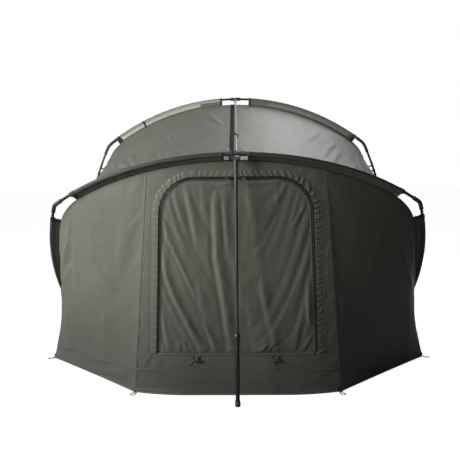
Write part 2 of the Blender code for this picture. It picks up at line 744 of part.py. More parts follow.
def column(pair, count):
    top, hem = pair
    foot = hem + Vector((0.0, 0.0, HEM_LIFT))
    return [top.lerp(foot, t) for t in shares(count)]


def front_panel(side, where):
    corners = (FRONT_CORNER, FRONT_OUTER, FRONT_HUB)
    pairs = panel_columns(front_seam, -SEAM_ACROSS, corners, side, FRONT_SIDE_STEPS)
    aside = Vector((side * SEAM_GAP / 2, 0.0, 0.0))
    pairs[0] = tuple(p + aside for p in pairs[0])
    sheet(f"front_panel_{where}", [column(p, DOWN_STEPS) for p in pairs], dark_canopy)


def rear_panel():
    corners = (REAR_CORNER, REAR_OUTER, REAR_HUB)
    halves = {}
    for side in (-1, 1):
        pairs = panel_columns(main_seam, SEAM_ACROSS, corners, side, REAR_SIDE_STEPS)
        middle = []
        for t in shares(4)[1:-1]:
            angle = main_seam.at_width(CORNER_TOP * t)
            hem = mirrored(REAR_CENTRE.lerp(REAR_CORNER, t), side)
            middle.append((main_seam.at(angle, side, across=SEAM_ACROSS), hem))
        halves[side] = middle + pairs
    centre = (main_seam.at(0.0, across=SEAM_ACROSS), REAR_CENTRE)
    pairs = [*reversed(halves[-1]), centre, *halves[1]]
    sheet("rear_panel", [column(p, DOWN_STEPS - 1) for p in pairs], dark_canopy)


# The front centre panel, its door and zip share one surface, given by width and height.
def plain_front(wide, height):
    angle = front_seam.at_width(abs(wide))
    top = front_seam.at(angle, across=-SEAM_ACROSS)
    share = (max(0.0, abs(wide) - SILL_FLAT) / (FRONT_CORNER.x - SILL_FLAT)) ** 2
    hem = FRONT_CENTRE.y + (FRONT_CORNER.y - FRONT_CENTRE.y) * share
    return hem + (top.y - hem) * height / top.z


def zip_run():
    return DOOR_HALF_TOP - DOOR_CORNER


def front_surface(wide, height, forward=0.0):
    # Each half of the zip's top run is straight, so that its slider can travel along it.
    run = zip_run()
    depth = plain_front(wide, height)
    if abs(wide) < run:
        t = abs(wide) / run
        straight = plain_front(0.0, DOOR_TOP) * (1 - t) + plain_front(run, DOOR_TOP) * t
        fade = min(1.0, max(0.0, height / DOOR_TOP * 2 - 1))
        depth += (straight - plain_front(wide, DOOR_TOP)) * fade
    return Vector((wide, depth - forward, height))


def door_outline(inset, counts):
    # Right half of the door's edge, crown to sill, as (width, height) with its outward direction.
    side_lean = math.atan2(DOOR_HALF_SILL - DOOR_HALF_TOP, DOOR_TOP - DOOR_SILL)
    centre = (DOOR_HALF_TOP - DOOR_CORNER, DOOR_TOP - DOOR_CORNER)
    radius = DOOR_CORNER - inset
    last = math.radians(90) - side_lean
    found = [((centre[0] * t, DOOR_TOP - inset), (0.0, 1.0)) for t in shares(counts[0])]
    for t in shares(counts[1])[1:]:
        way = (math.sin(last * t), math.cos(last * t))
        found.append(((centre[0] + radius * way[0], centre[1] + radius * way[1]), way))
    (wide, high), way = found[-1]
    drop = high - DOOR_SILL
    run_out = drop * math.tan(side_lean)
    for t in shares(counts[2])[1:]:
        found.append(((wide + run_out * t, high - drop * t), way))
    return found


def both_halves(half):
    left = [((-w, h), (-x, z)) for (w, h), (x, z) in reversed(half[1:])]
    return left + half


def front_panel_centre():
    counts = DOOR_STEPS
    inner = both_halves(door_outline(-ZIP_HALF - SEAM_GAP / 2, counts))
    inner_loop = [front_surface(*spot) for spot, _ in inner]
    sill = DOOR_SILL - SEAM_GAP
    inner_loop[0].z = inner_loop[-1].z = sill
    right, left = inner_loop[-1], inner_loop[0]
    bottom = [front_surface(right.x + (left.x - right.x) * t, sill) for t in shares(SILL_STEPS)[1:-1]]
    inner_loop += bottom
    corner = front_seam.at_width(CORNER_TOP)
    top_count = counts[0] + counts[1]
    half = [front_seam.at(corner * t, across=-SEAM_ACROSS) for t in shares(top_count)]
    seam_foot = FRONT_CORNER + Vector((0.0, 0.0, HEM_LIFT))
    half += [half[-1].lerp(seam_foot, t) for t in shares(counts[2])[1:]]
    outer_loop = [mirrored(p, -1) for p in reversed(half[1:])] + half
    for t in shares(SILL_STEPS)[1:-1]:
        wide = FRONT_CORNER.x * (1 - 2 * t)
        outer_loop.append(front_surface(wide, HEM_LIFT))
    rows = [[a.lerp(b, t) for a, b in zip(outer_loop, inner_loop)] for t in shares(3)]
    sheet("front_panel_centre", rows, canopy, ring=True)


# Folds of the closed door, each between two places given as shares of half its width and of its height.
DOOR_FOLD_SHARES = (
    ((-0.92, 0.80), (-0.62, 0.62), 0.9),
    ((-0.94, 0.66), (-0.42, 0.02), 1.3),
    ((-0.72, 0.97), (-0.62, 0.76), 0.7),
    ((-0.54, 0.98), (-0.46, 0.68), 0.8),
    ((-0.28, 0.80), (-0.04, 0.02), 1.4),
    ((-0.96, 0.36), (-0.78, 0.02), 0.9),
    ((0.92, 0.84), (0.64, 0.72), 0.5),
    ((0.50, 0.24), (0.60, 0.02), 0.8),
    ((0.88, 0.34), (0.94, 0.12), 0.5),
)
FOLD_HEIGHT = 0.011
FOLD_WIDTH = 0.034


def fold_at(wide, height, spots):
    # How far the cloth stands forward at a place on the door, from every fold near it.
    scale_x, scale_z = DOOR_HALF_SILL, DOOR_TOP - DOOR_SILL
    total = 0.0
    for (x0, z0), (x1, z1), weight in spots:
        a = Vector((x0 * scale_x, DOOR_SILL + z0 * scale_z))
        b = Vector((x1 * scale_x, DOOR_SILL + z1 * scale_z))
        line = b - a
        t = min(1.0, max(0.0, (Vector((wide, height)) - a).dot(line) / line.length_squared))
        off = (Vector((wide, height)) - a.lerp(b, t)).length
        total += weight * FOLD_HEIGHT * math.exp(-((off / FOLD_WIDTH) ** 2))
    return total


def door_panel():
    half = door_outline(ZIP_HALF + SEAM_GAP / 2, (1, DOOR_STEPS[1], 10))[1:]
    rows = []
    for (wide, height), _ in half:
        row = []
        for t in shares(21):
            x = wide * (2 * t - 1)
            edge = min(1.0, (wide - abs(x)) / FOLD_WIDTH, (DOOR_TOP - ZIP_HALF - height) / FOLD_WIDTH)
            row.append(front_surface(x, height, fold_at(x, height, DOOR_FOLD_SHARES) * max(0.0, edge)))
        rows.append(row)
    sheet("door_panel", rows, canopy)


def door_zip():
    path = both_halves(door_outline(0.0, DOOR_STEPS))
    spread_shares = ((-1.0, 0.0), (-0.3, 0.0), (-0.2, 1.0), (0.2, 1.0), (0.3, 0.0), (1.0, 0.0))
    rows = []
    for (wide, height), (x, z) in path:
        row = []
        for share, rise in spread_shares:
            spot = front_surface(wide, height, rise * ZIP_CHAIN)
            row.append(spot + Vector((x, 0.0, z)) * share * ZIP_HALF)
        rows.append(row)
    sheet("door_zip", rows, black_plastic)


def storm_flap():
    # Gathered cloth over the outer half of the zip. The ruffles are deepest round the door's upper corners.
    straight = DOOR_TOP - DOOR_SILL - DOOR_CORNER
    lengths = (zip_run(), DOOR_CORNER * math.radians(90), straight)
    counts = [math.ceil(n / (RUFFLE_PITCH / 4)) for n in lengths]
    path = both_halves(door_outline(0.0, counts))
    crown = len(path) // 2
    profile_shares = ((0.55, 0.9), (1.4, 1.0), (2.4, 0.6), (FLAP_WIDTH / ZIP_HALF, 0.0))
    rows = []
    for i, ((wide, height), (x, z)) in enumerate(path):
        from_corner = min(abs(abs(i - crown) - counts[0] - counts[1] / 2) / len(path) * 4, 1.0)
        lift = RUFFLE * (1.0 - FLAP_CALM_SHARE * from_corner) * (1 + math.sin(math.pi / 2 * i)) / 2
        row = []
        for share, stand in profile_shares:
            forward = FLAP_STAND + lift * stand
            out = Vector((x, 0.0, z)) * share * ZIP_HALF
            row.append(front_surface(wide + out.x, height + out.z, forward))
        rows.append(row)
    sheet("storm_flap", rows, canopy)


def slider_way(side):
    start, end = front_surface(0.0, DOOR_TOP), front_surface(side * zip_run(), DOOR_TOP)
    return (end - start).normalized()


def zip_slider(side, where):
    way = slider_way(side)
    chain = front_surface(0.0, DOOR_TOP, ZIP_CHAIN + CLOTH / 2 + GAP)
    centre = chain + way * SLIDER_PARK - Vector((0.0, SLIDER_DEPTH / 2, 0.0))
    size = Vector((SLIDER_LENGTH, SLIDER_DEPTH, SLIDER_HEIGHT)) / 2
    name = f"zip_slider_{where}"
    made = block(name, -size, size, black_plastic, bevel=SLIDER_DEPTH / 4)
    made.matrix_world = Matrix.Translation(centre) @ way.to_track_quat("X", "Z").to_matrix().to_4x4()
    tab_low = centre + Vector((-PULLER_WIDTH / 2, -SLIDER_DEPTH / 2 + GAP, -PULLER_LENGTH))
    tab_high = centre + Vector((PULLER_WIDTH / 2, 0.0, 0.0))
    tab_low.y -= SLIDER_DEPTH / 3
    tab_high.y = tab_low.y + SLIDER_DEPTH / 2
    combine(made, block(f"{name}_tab", tab_low, tab_high, black_plastic), "UNION")


def toggle(side, where):
    # A loop of tape stands off the sill, and the toggle lies across it.
    lift = CLOTH / 2 + GAP + WEBBING / 2
    base = front_surface(side * TOGGLE_PARK, TOGGLE_HEIGHT, lift)
    half = TOGGLE_TAPE / 2
    reach = TOGGLE_WAIST * 2 + WEBBING + GAP * 3
    path = [(0.0, TOGGLE_LOOP), (0.0, 0.0)]
    bow = half_turn(6)
    centre_z = -GAP
    path += [(reach / 2 * (1 - math.cos(a)), centre_z - reach / 2 * math.sin(a)) for a in bow]
    path += [(reach, TOGGLE_LOOP / 2)]
    tilt = front_surface(side * TOGGLE_PARK, TOGGLE_HEIGHT + TOGGLE_LOOP, lift) - base
    rows = [[base + Vector((x, tilt.y * z / tilt.z - out, z)) for x in (-half, half)] for out, z in path]
    sheet(f"toggle_loop_{where}", rows, webbing, thickness=WEBBING)
    middle = base + Vector((0.0, -reach / 2, 0.0))
    profile = [
        (0.0, TOGGLE_LENGTH / 2),
        (TOGGLE_WAIST, TOGGLE_LENGTH / 2),
        (TOGGLE_RADIUS, TOGGLE_LENGTH / 3),
        (TOGGLE_WAIST, 0.0),
        (TOGGLE_RADIUS, -TOGGLE_LENGTH / 3),
        (TOGGLE_WAIST, -TOGGLE_LENGTH / 2),
        (0.0, -TOGGLE_LENGTH / 2),
    ]
    turned(f"toggle_{where}", profile, middle, Vector((1.0, 0.0, 0.0)), black_plastic, steps=10)


def peg_loop(name, corner, side, way):
    # Webbing doubled into a loop that lies on the ground, outside the hem's corner.
    start = corner - way * LOOP_TAPE
    curve = bpy.data.curves.new(name, "CURVE")
    curve.dimensions = "2D"
    curve.fill_mode = "BOTH"
    curve.extrude = WEBBING / 2
    for inset in (0.0, LOOP_TAPE):
        line = curve.splines.new("POLY")
        line.use_cyclic_u = True
        half = LOOP_WIDTH / 2 - inset
        middle = LOOP_LENGTH - LOOP_WIDTH / 2
        outline = [(inset, -half * 0.45), (middle, -half)]
        outline += [(middle + half * math.sin(a), -half * math.cos(a)) for a in half_turn(6)[1:-1]]
        outline += [(middle, half), (inset, half * 0.45)]
        line.points.add(len(outline) - 1)
        for target, (along, off) in zip(line.points, outline):
            target.co = (along, off, 0.0, 1.0)
    made = add(name, curve, webbing)
    turn = Matrix.Rotation(math.atan2(way.y, side * way.x), 4, "Z")
    seat = mirrored(start, side) + Vector((0.0, 0.0, WEBBING / 2))
    made.matrix_world = Matrix.Translation(seat) @ turn


def build():
    front_centre_block()
    main_centre_block()
    tension_bar()
    storm_pole()
    front_panel_centre()
    door_panel()
    door_zip()
    storm_flap()
    rear_panel()
    for side, where in ((-1, "left"), (1, "right")):
        hub_block(side, where)
        main_hoop(side, where)
        front_hoop(side, where)
        roof_panel(side, where)
        side_wall(side, where)
        front_panel(side, where)
        zip_slider(side, where)
        toggle(side, where)
        for label, corner, way in PEG_LOOPS:
            peg_loop(f"peg_loop_{label}_{where}", corner, side, way.normalized())


clear_scene()
aluminium = material("anodised_pole", (0.055, 0.057, 0.055), 0.35, 0.9)
bright_aluminium = material("bare_bar", (0.42, 0.43, 0.43), 0.3, 1.0)
moulding = material("black_moulding", (0.018, 0.018, 0.019), 0.5)
black_plastic = material("zip_black", (0.02, 0.02, 0.02), 0.45)
rubber = material("foot_rubber", (0.015, 0.015, 0.015), 0.8)
canopy = material("canopy_olive", (0.075, 0.080, 0.058), 0.7)
dark_canopy = material("canopy_dark", (0.055, 0.058, 0.046), 0.7)
webbing = material("webbing_black", (0.02, 0.021, 0.02), 0.8)
build()
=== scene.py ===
# Looks of the bivvy tent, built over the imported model. Metres, in the model's own frame.
import math

import bmesh
import bpy
import numpy as np
from mathutils import Matrix, Vector, noise


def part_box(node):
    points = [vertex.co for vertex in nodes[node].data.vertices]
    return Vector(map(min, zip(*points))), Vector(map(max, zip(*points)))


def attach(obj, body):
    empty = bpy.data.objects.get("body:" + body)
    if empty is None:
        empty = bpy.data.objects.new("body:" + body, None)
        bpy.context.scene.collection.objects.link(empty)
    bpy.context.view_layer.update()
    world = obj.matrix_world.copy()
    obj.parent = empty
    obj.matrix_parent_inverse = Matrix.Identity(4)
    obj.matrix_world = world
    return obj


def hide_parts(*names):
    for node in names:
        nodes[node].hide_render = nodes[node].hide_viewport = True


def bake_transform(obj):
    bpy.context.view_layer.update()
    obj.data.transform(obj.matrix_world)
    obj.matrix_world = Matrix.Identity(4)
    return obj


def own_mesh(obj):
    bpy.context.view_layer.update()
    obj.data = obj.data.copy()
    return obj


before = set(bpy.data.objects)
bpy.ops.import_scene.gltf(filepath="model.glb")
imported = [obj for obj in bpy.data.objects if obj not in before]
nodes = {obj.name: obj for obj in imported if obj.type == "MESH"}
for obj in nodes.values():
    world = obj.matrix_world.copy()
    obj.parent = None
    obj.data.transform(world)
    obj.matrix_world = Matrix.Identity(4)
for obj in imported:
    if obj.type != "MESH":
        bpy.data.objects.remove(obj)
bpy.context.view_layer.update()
sides = ((-1, "left"), (1, "right"))
up = Vector((0, 0, 1))
forward = Vector((0, -1, 0))
fullTurn = 2 * math.pi


# The hoops, as the model has them
form = {
    "rise": 1.75, "archRadius": 1.52, "legRadius": 2.40, "axis": 0.055, "pole": 0.008,
    "seamDrop": 0.045, "seamAcross": 0.0026, "elbow": 0.045,
    "main": {"lean": math.radians(12.4), "halfWidth": 1.145, "widest": 0.525, "bend": 0.11, "seamBend": 0.26},
    "front": {"lean": math.radians(-45.4), "halfWidth": 1.171, "widest": 0.48, "bend": 0.07, "seamBend": 0.5},
}


class Hoop:
    # An arch, an elbow and a leg arc in one plane. A place on it is named by the angle of its normal.
    def __init__(self, shape, bend, inset=0.0):
        lean = shape["lean"]
        self.up = Vector((0, math.sin(lean), math.cos(lean)))
        self.back = Vector((0, math.cos(lean), -math.sin(lean)))
        ax, ar = 0.0, form["rise"] - form["archRadius"]
        lx, lr = shape["halfWidth"] - form["legRadius"], shape["widest"]
        self.arch = ((ax, ar), form["archRadius"] - inset)
        self.leg = ((lx, lr), form["legRadius"] - inset)
        span = math.hypot(lx - ax, lr - ar)
        reach, other = self.arch[1] - bend, self.leg[1] - bend
        along = (reach**2 - other**2 + span**2) / (2 * span)
        aside = math.sqrt(reach**2 - along**2)
        ux, ur = (lx - ax) / span, (lr - ar) / span
        cx, cr = ax + ux * along + ur * aside, ar + ur * along - ux * aside
        self.elbow = ((cx, cr), bend)
        self.bendStart = math.atan2(cx - ax, cr - ar)
        self.bendEnd = math.atan2(cx - lx, cr - lr)

    def flat(self, angle, out=0.0):
        bent = self.elbow if angle < self.bendEnd else self.leg
        (cx, cr), radius = self.arch if angle < self.bendStart else bent
        return cx + (radius + out) * math.sin(angle), cr + (radius + out) * math.cos(angle)

    def at(self, angle, side=1, out=0.0, across=0.0):
        wide, rise = self.flat(abs(angle), out)
        place = self.up * rise + self.back * across
        return Vector((side * math.copysign(1, angle) * wide, place.y, place.z + form["axis"]))

    def outward(self, angle, side=1):
        return Vector((side * math.sin(angle), 0, 0)) + self.up * math.cos(abs(angle))

    def atWidth(self, wide):
        return math.asin(wide / self.arch[1])

    def atRise(self, rise):
        return math.acos((rise - self.leg[0][1]) / self.leg[1])

    def aboveElbow(self, distance):
        return self.bendStart - (form["elbow"] + distance) / form["archRadius"]

    def belowElbow(self, distance):
        return self.bendEnd + (form["elbow"] + distance) / form["legRadius"]

    def spread(self, start, end, step):
        # Angles from start to end, an even distance apart.
        angles = np.linspace(start, end, 600)
        run = runOf([self.flat(a) for a in angles])
        return np.interp(np.linspace(0, run[-1], max(2, round(run[-1] / step) + 1)), run, angles)


def runOf(path):
    # The distance from a path's start to each of its points.
    return np.concatenate([[0], np.cumsum(np.linalg.norm(np.diff(np.asarray(path, float), axis=0), axis=1))])


mainPole, frontPole = (Hoop(form[key], form[key]["bend"]) for key in ("main", "front"))
mainSeam, frontSeam = (Hoop(form[key], form[key]["seamBend"], form["seamDrop"]) for key in ("main", "front"))


# How far the hoops turn as they fold back, and the numbers from which each group of cloth gets its share of
# the turn
fold = {"main": 75.9, "front": 129.6, "flatten": 0.018, "pegged": 0.03}


def flattenFront(piece):
    anchor = frontSeam.at(0.0, across=-0.012)
    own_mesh(piece)


def spotsOf(piece):
    return np.array([v.co for v in piece.data.vertices])


def foldWith(piece, group):
    # What hangs on the front hoop is attached to it. For the roof and rear, each point's share of the turn
    # about the hubs is worked out, with none for points pegged near the ground.
    if group == "front":
        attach(piece, "front_hoop")
        flattenFront(piece)
        return
    main, front = (90 - math.degrees(form[key]["lean"]) for key in ("main", "front"))
    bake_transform(piece)
    spots = spotsOf(piece)
    angle = np.degrees(np.arctan2(spots[:, 2] - form["axis"], spots[:, 1]))
    if group == "rear":
        share = np.clip(angle / main, 0, 1)
    else:
        turn = fold["main"] + (fold["front"] - fold["main"]) * (angle - main) / (front - main)
        share = np.clip(turn / fold["front"], fold["main"] / fold["front"], 1)
    share[spots[:, 2] < fold["pegged"]] = 0


def dress(piece, slot, *replaced):
    if replaced:
        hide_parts(*replaced)


def handOver(piece, slot, carrier, *replaced):
    # The carrier is a body of the model, or a group of cloth: front, rear or roof.
    dress(piece, slot, *replaced)
    if carrier in ("front", "rear", "roof"):
        foldWith(piece, carrier)
    else:
        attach(piece, carrier)


# Materials
def node(tree, kind, values=None, **settings):
    made = tree.nodes.new(f"ShaderNode{kind}")
    for key, value in settings.items():
        setattr(made, key, value)
    for key, value in (values or {}).items():
        if isinstance(value, bpy.types.NodeSocket):
            tree.links.new(value, made.inputs[key])
        else:
            made.inputs[key].default_value = value
    return made


def maths(tree, operation, *values):
    return node(tree, "Math", dict(enumerate(values)), operation=operation).outputs[0]


def total(tree, *parts):
    # The sum of sockets, each times its own share.
    found = None
    for socket, share in parts:
        part = maths(tree, "MULTIPLY", socket, share)
        found = part if found is None else maths(tree, "ADD", found, part)
    return found


def ranged(tree, value, low, high, start=0.0, end=1.0):
    values = {"Value": value, "From Min": low, "From Max": high, "To Min": start, "To Max": end}
    return node(tree, "MapRange", values).outputs[0]


def mixed(tree, factor, first, second):
    ends = [c if isinstance(c, bpy.types.NodeSocket) else (*c, 1) for c in (first, second)]
    return node(tree, "Mix", {"Factor": factor, 6: ends[0], 7: ends[1]}, data_type="RGBA").outputs[2]


def noiseAt(tree, where, scale, detail=4.0, rough=0.5):
    values = {"Vector": where, "Scale": scale, "Detail": detail, "Roughness": rough}
    return node(tree, "TexNoise", values).outputs["Fac"]


def bump(tree, height, strength, distance, under=None):
    values = {"Height": height, "Strength": strength, "Distance": distance}
    if under is not None:
        values["Normal"] = under
    return node(tree, "Bump", values).outputs[0]


def newMaterial(name, roughness, **sockets):
    made = bpy.data.materials.new(name)
    made.use_nodes = True
    tree = made.node_tree
    shader = tree.nodes["Principled BSDF"]
    for key, value in {"Roughness": roughness, **sockets}.items():
        shader.inputs[key].default_value = value
    return made, tree, node(tree, "TexCoord").outputs["Object"]


def flatPlaces(tree):
    # Where a point lies on the flat cloth, in metres.
    uv = node(tree, "UVMap", uv_map="UVMap").outputs[0]
    split = node(tree, "SeparateXYZ", {"Vector": uv})
    return uv, split.outputs[0], split.outputs[1]


def wired(made, colour, normal, roughness=None):
    tree = made.node_tree
    for key, socket in (("Base Color", colour), ("Normal", normal), ("Roughness", roughness)):
        if socket is not None:
            tree.links.new(socket, tree.nodes["Principled BSDF"].inputs[key])
    return made


cloth = {
    "rough": 0.52, "specular": 0.34, "sheen": 0.05, "sheenRough": 0.45, "sheenTint": (0.75, 0.8, 0.7, 1),
    # The darker, cooler colour for low down is painted shade; the dust colour is the foot's own dirt.
    "pitch": 0.0009, "crumple": 0.10, "paintedShade": (0.0150, 0.0185, 0.0200), "dust": (0.075, 0.071, 0.060),
    "stitch": 0, "stitchPitch": 0.0042, "stitchHalf": 0.00055, "thread": (0.10, 0.105, 0.085),
}


def clothMaterial(name, dark, light, **changes):
    look = {**cloth, **changes}
    made, tree, place = newMaterial(
        name, look["rough"], **{"Specular IOR Level": look["specular"], "Sheen Weight": look["sheen"],
                                "Sheen Roughness": look["sheenRough"], "Sheen Tint": look["sheenTint"]})
    uv, u, v = flatPlaces(tree)
    mottle = noiseAt(tree, place, 34.0, 5.0, 0.6)
    streak = node(tree, "Mapping", {"Vector": uv, "Scale": (260.0, 7.0, 1.0)}).outputs[0]
    tone = total(tree, (noiseAt(tree, place, 2.3, 3.0, 0.55), 0.55), (mottle, 0.25),
                 (noiseAt(tree, streak, 1.0, 2.0), 0.2))
    colour = mixed(tree, ranged(tree, tone, 0.32, 0.68), dark, light)
    # Low down the cloth is painted darker and cooler, as painted shade for light that falls from above, and
    # its foot is dusty.
    height = node(tree, "SeparateXYZ", {"Vector": place}).outputs[2]
    shadeAndDustHeight = total(tree, (height, 1), (noiseAt(tree, place, 11.0), -0.09))
    colour = mixed(tree, ranged(tree, shadeAndDustHeight, 0.62, 0.06, 0, 0.52), colour, look["paintedShade"])
    colour = mixed(tree, ranged(tree, shadeAndDustHeight, 0.02, -0.05, 0, 0.25), colour, look["dust"])
    # Plain weave, where warp and weft threads pass over and under each other
    warp, weft = (maths(tree, "SINE", maths(tree, "MULTIPLY", w, fullTurn / look["pitch"])) for w in (u, v))
    normal = bump(tree, maths(tree, "MULTIPLY", warp, weft), 0.18, 0.00012)
    normal = bump(tree, noiseAt(tree, place, 90.0, 4.0, 0.65), 0.16, 0.0011, normal)
    normal = bump(tree, noiseAt(tree, place, 13.0, 3.0), look["crumple"], 0.008, normal)
    if look["stitch"]:
        # A row of stitches on each side of the middle, in a shallow groove that it pulls
        off = maths(tree, "ABSOLUTE", maths(tree, "SUBTRACT", maths(tree, "ABSOLUTE", v), look["stitch"]))
        dash = maths(tree, "FRACT", maths(tree, "MULTIPLY", u, 1 / look["stitchPitch"]))
        thread = maths(tree, "MULTIPLY", maths(tree, "LESS_THAN", off, look["stitchHalf"]),
                       maths(tree, "LESS_THAN", dash, 0.68))
        colour = mixed(tree, maths(tree, "MULTIPLY", thread, 0.55), colour, look["thread"])
        normal = bump(tree, thread, 0.6, 0.0005, normal)
        normal = bump(tree, ranged(tree, off, 0.0, 0.0035), 0.5, 0.0009, normal)
    gloss = ranged(tree, mottle, 0.3, 0.7, look["rough"] - 0.05, look["rough"] + 0.07)
    return wired(made, colour, normal, gloss)


olive = clothMaterial("olive_cloth", (0.066, 0.069, 0.053), (0.086, 0.089, 0.069))
# A lighter copy of the olive cloth: painted light, for the roof and the sleeves that the light falls on.
litOlive = clothMaterial("roof_cloth", (0.078, 0.080, 0.066), (0.100, 0.102, 0.086), rough=0.5,
                          specular=0.36)
# A darker copy of the olive cloth, for the rear panel and, as painted shade, for the right front side panel.
darkOlive = clothMaterial("dark_cloth", (0.046, 0.048, 0.037), (0.062, 0.064, 0.050), rough=0.54)
hemCloth = clothMaterial("hem_cloth", (0.050, 0.053, 0.041), (0.066, 0.069, 0.054), stitch=0.009)
poleCloth = clothMaterial("pole_hem_cloth", (0.012, 0.013, 0.011), (0.024, 0.025, 0.022), rough=0.6)
# Pale tape, only on the left main sleeve: partly its own pale colour and partly painted light where the key
# light falls.
paleLitTape = clothMaterial("pale_lit_tape", (0.250, 0.247, 0.215), (0.330, 0.325, 0.285), rough=0.48, pitch=0.0016)
edgeTape = clothMaterial("edge_tape", (0.115, 0.122, 0.112), (0.150, 0.158, 0.146), pitch=0.0014)
seamCloth = clothMaterial("seam_cloth", (0.058, 0.061, 0.047), (0.076, 0.079, 0.061), stitch=0.0035)


def webbingMaterial(name, dark, light, shine=0.3, sheen=0.2):
    made, tree, place = newMaterial(name, 0.75, **{"Specular IOR Level": shine, "Sheen Weight": sheen})
    _, u, v = flatPlaces(tree)
    rib = maths(tree, "SINE", total(tree, (u, 2200.0), (maths(tree, "ABSOLUTE", v), 2600.0)))
    tone = total(tree, (rib, 0.2), (noiseAt(tree, place, 55.0), 1))
    normal = bump(tree, noiseAt(tree, place, 400.0, 2.0), 0.2, 0.0004, bump(tree, rib, 0.5, 0.0004))
    return wired(made, mixed(tree, ranged(tree, tone, 0.2, 0.8), dark, light), normal)


webbing = webbingMaterial("black_webbing", (0.010, 0.010, 0.010), (0.034, 0.034, 0.032))
brownTape = webbingMaterial("brown_tape", (0.014, 0.012, 0.010), (0.028, 0.024, 0.020), 0.08, 0.0)


def metalMaterial(name, dark, light, rough, metal, wear):
    # Drawn tube with a fine grain, small scratches, and wear that shows the metal beneath.
    made, tree, place = newMaterial(name, rough, Metallic=metal)
    smear, grain = noiseAt(tree, place, 7.0, 3.0), noiseAt(tree, place, 320.0, 3.0, 0.7)
    cells = node(tree, "TexVoronoi", {"Vector": place, "Scale": 75.0}, feature="DISTANCE_TO_EDGE")
    rare = ranged(tree, noiseAt(tree, place, 9.0), 0.56, 0.66, 0.0, wear)
    worn = maths(tree, "MULTIPLY", ranged(tree, cells.outputs[0], 0.0, 0.02, 1.0, 0.0), rare)
    base = mixed(tree, ranged(tree, total(tree, (smear, 0.7), (grain, 0.3)), 0.35, 0.65), dark, light)
    gloss = ranged(tree, smear, 0.3, 0.7, rough - 0.07, rough + 0.09)
    return wired(made, mixed(tree, worn, base, (0.35, 0.35, 0.34)), bump(tree, grain, 0.12, 0.0002), gloss)


poleMetal = metalMaterial("anodised_tube", (0.022, 0.023, 0.022), (0.040, 0.041, 0.039), 0.36, 0.75, 0.5)
propMetal = metalMaterial("satin_tube", (0.034, 0.036, 0.034), (0.058, 0.060, 0.057), 0.46, 0.6, 0.4)
barMetal = metalMaterial("bare_tube", (0.15, 0.152, 0.145), (0.22, 0.222, 0.212), 0.48, 0.7, 0.3)


def mouldedMaterial(name, dark, light, rough, grainSize):
    made, tree, place = newMaterial(name, rough, **{"Specular IOR Level": 0.45})
    smear = noiseAt(tree, place, 16.0)
    rub = ranged(tree, node(tree, "NewGeometry").outputs["Pointiness"], 0.52, 0.60)
    tone = ranged(tree, total(tree, (smear, 0.8), (rub, 0.5)), 0.3, 0.9)
    normal = bump(tree, noiseAt(tree, place, grainSize, 3.0, 0.6), 0.25, 0.0004)
    gloss = ranged(tree, smear, 0.3, 0.7, rough - 0.06, rough + 0.08)
    return wired(made, mixed(tree, tone, dark, light), normal, gloss)


moulding = mouldedMaterial("black_moulding", (0.011, 0.011, 0.012), (0.034, 0.034, 0.035), 0.46, 900.0)
zipPlastic = mouldedMaterial("zip_coil", (0.010, 0.010, 0.010), (0.028, 0.028, 0.028), 0.38, 1500.0)
rubber = mouldedMaterial("foot_rubber", (0.010, 0.010, 0.010), (0.040, 0.038, 0.034), 0.78, 500.0)
print("materials made")


# Mesh helpers
def placed(name, data):
    held = bpy.data.objects.new(name, data)
    bpy.context.scene.collection.objects.link(held)
    return held


def fromShape(name, shape, finishes):
    mesh = bpy.data.meshes.new(name)
    shape.to_mesh(mesh)
    shape.free()
    for finish in finishes:
        mesh.materials.append(finish)
    return placed(name, mesh)


def edited(mesh, change):
    shape = bmesh.new()
    shape.from_mesh(mesh)
    change(shape)
    shape.to_mesh(mesh)
    shape.free()


def measured(points):
    # UVs in metres: the distance along each row, and along each column, from the middle of the cloth.
    def run(grid):
        found = np.array([runOf(row) for row in grid])
        return found - found[:, [found.shape[1] // 2]]

    return np.stack([run(points), run(points.transpose(1, 0, 2)).T], axis=2)


def gridPiece(name, points, finish, closed=False, inlays=()):
    # A bmesh grid laid over the points. An inlay is a run of columns in another finish.
    points = np.asarray(points, float)
    rows, columns = points.shape[:2]
    shape = bmesh.new()
    bmesh.ops.create_grid(shape, x_segments=columns - 1, y_segments=rows - 1, size=0.5)
    spots = np.array([v.co for v in shape.verts])
    i = np.rint((spots[:, 1] + 0.5) * (rows - 1)).astype(int)
    j = np.rint((spots[:, 0] + 0.5) * (columns - 1)).astype(int)
    piece = fromShape(name, shape, [finish])
    mesh = piece.data
    mesh.vertices.foreach_set("co", points[i, j].astype(np.float32).ravel())
    corner = np.zeros(len(mesh.loops), int)
    mesh.loops.foreach_get("vertex_index", corner)
    layer = mesh.uv_layers.new(name="UVMap")
    layer.data.foreach_set("uv", measured(points)[i, j][corner].astype(np.float32).ravel())
    for first, last, other in inlays:
        mesh.materials.append(other)
        for face in mesh.polygons:
            if first <= min(j[v] for v in face.vertices) < last:
                face.material_index = len(mesh.materials) - 1
    if closed:
        edited(mesh, lambda shape: bmesh.ops.remove_doubles(shape, verts=shape.verts, dist=0.00002))
    mesh.shade_smooth()
    return piece


def capEnds(piece):
    # Closes a tube's open ends with flat faces.
    def fill(shape):
        made = bmesh.ops.holes_fill(shape, edges=[e for e in shape.edges if e.is_boundary], sides=0)
        for face in made["faces"]:
            face.smooth = False

    edited(piece.data, fill)
    return piece


def joined(name, pieces, smooth=False):
    shape = bmesh.new()
    finishes = []
    for piece in pieces:
        finishes += [f for f in piece.data.materials if f not in finishes]
        base = [finishes.index(f) for f in piece.data.materials]
        start = len(shape.faces)
        shape.from_mesh(piece.data)
        shape.faces.ensure_lookup_table()
        for face in shape.faces[start:]:
            face.material_index = base[face.material_index]
        bpy.data.objects.remove(piece, do_unlink=True)
    made = fromShape(name, shape, finishes)
    if smooth:
        made.data.shade_smooth()
    return made


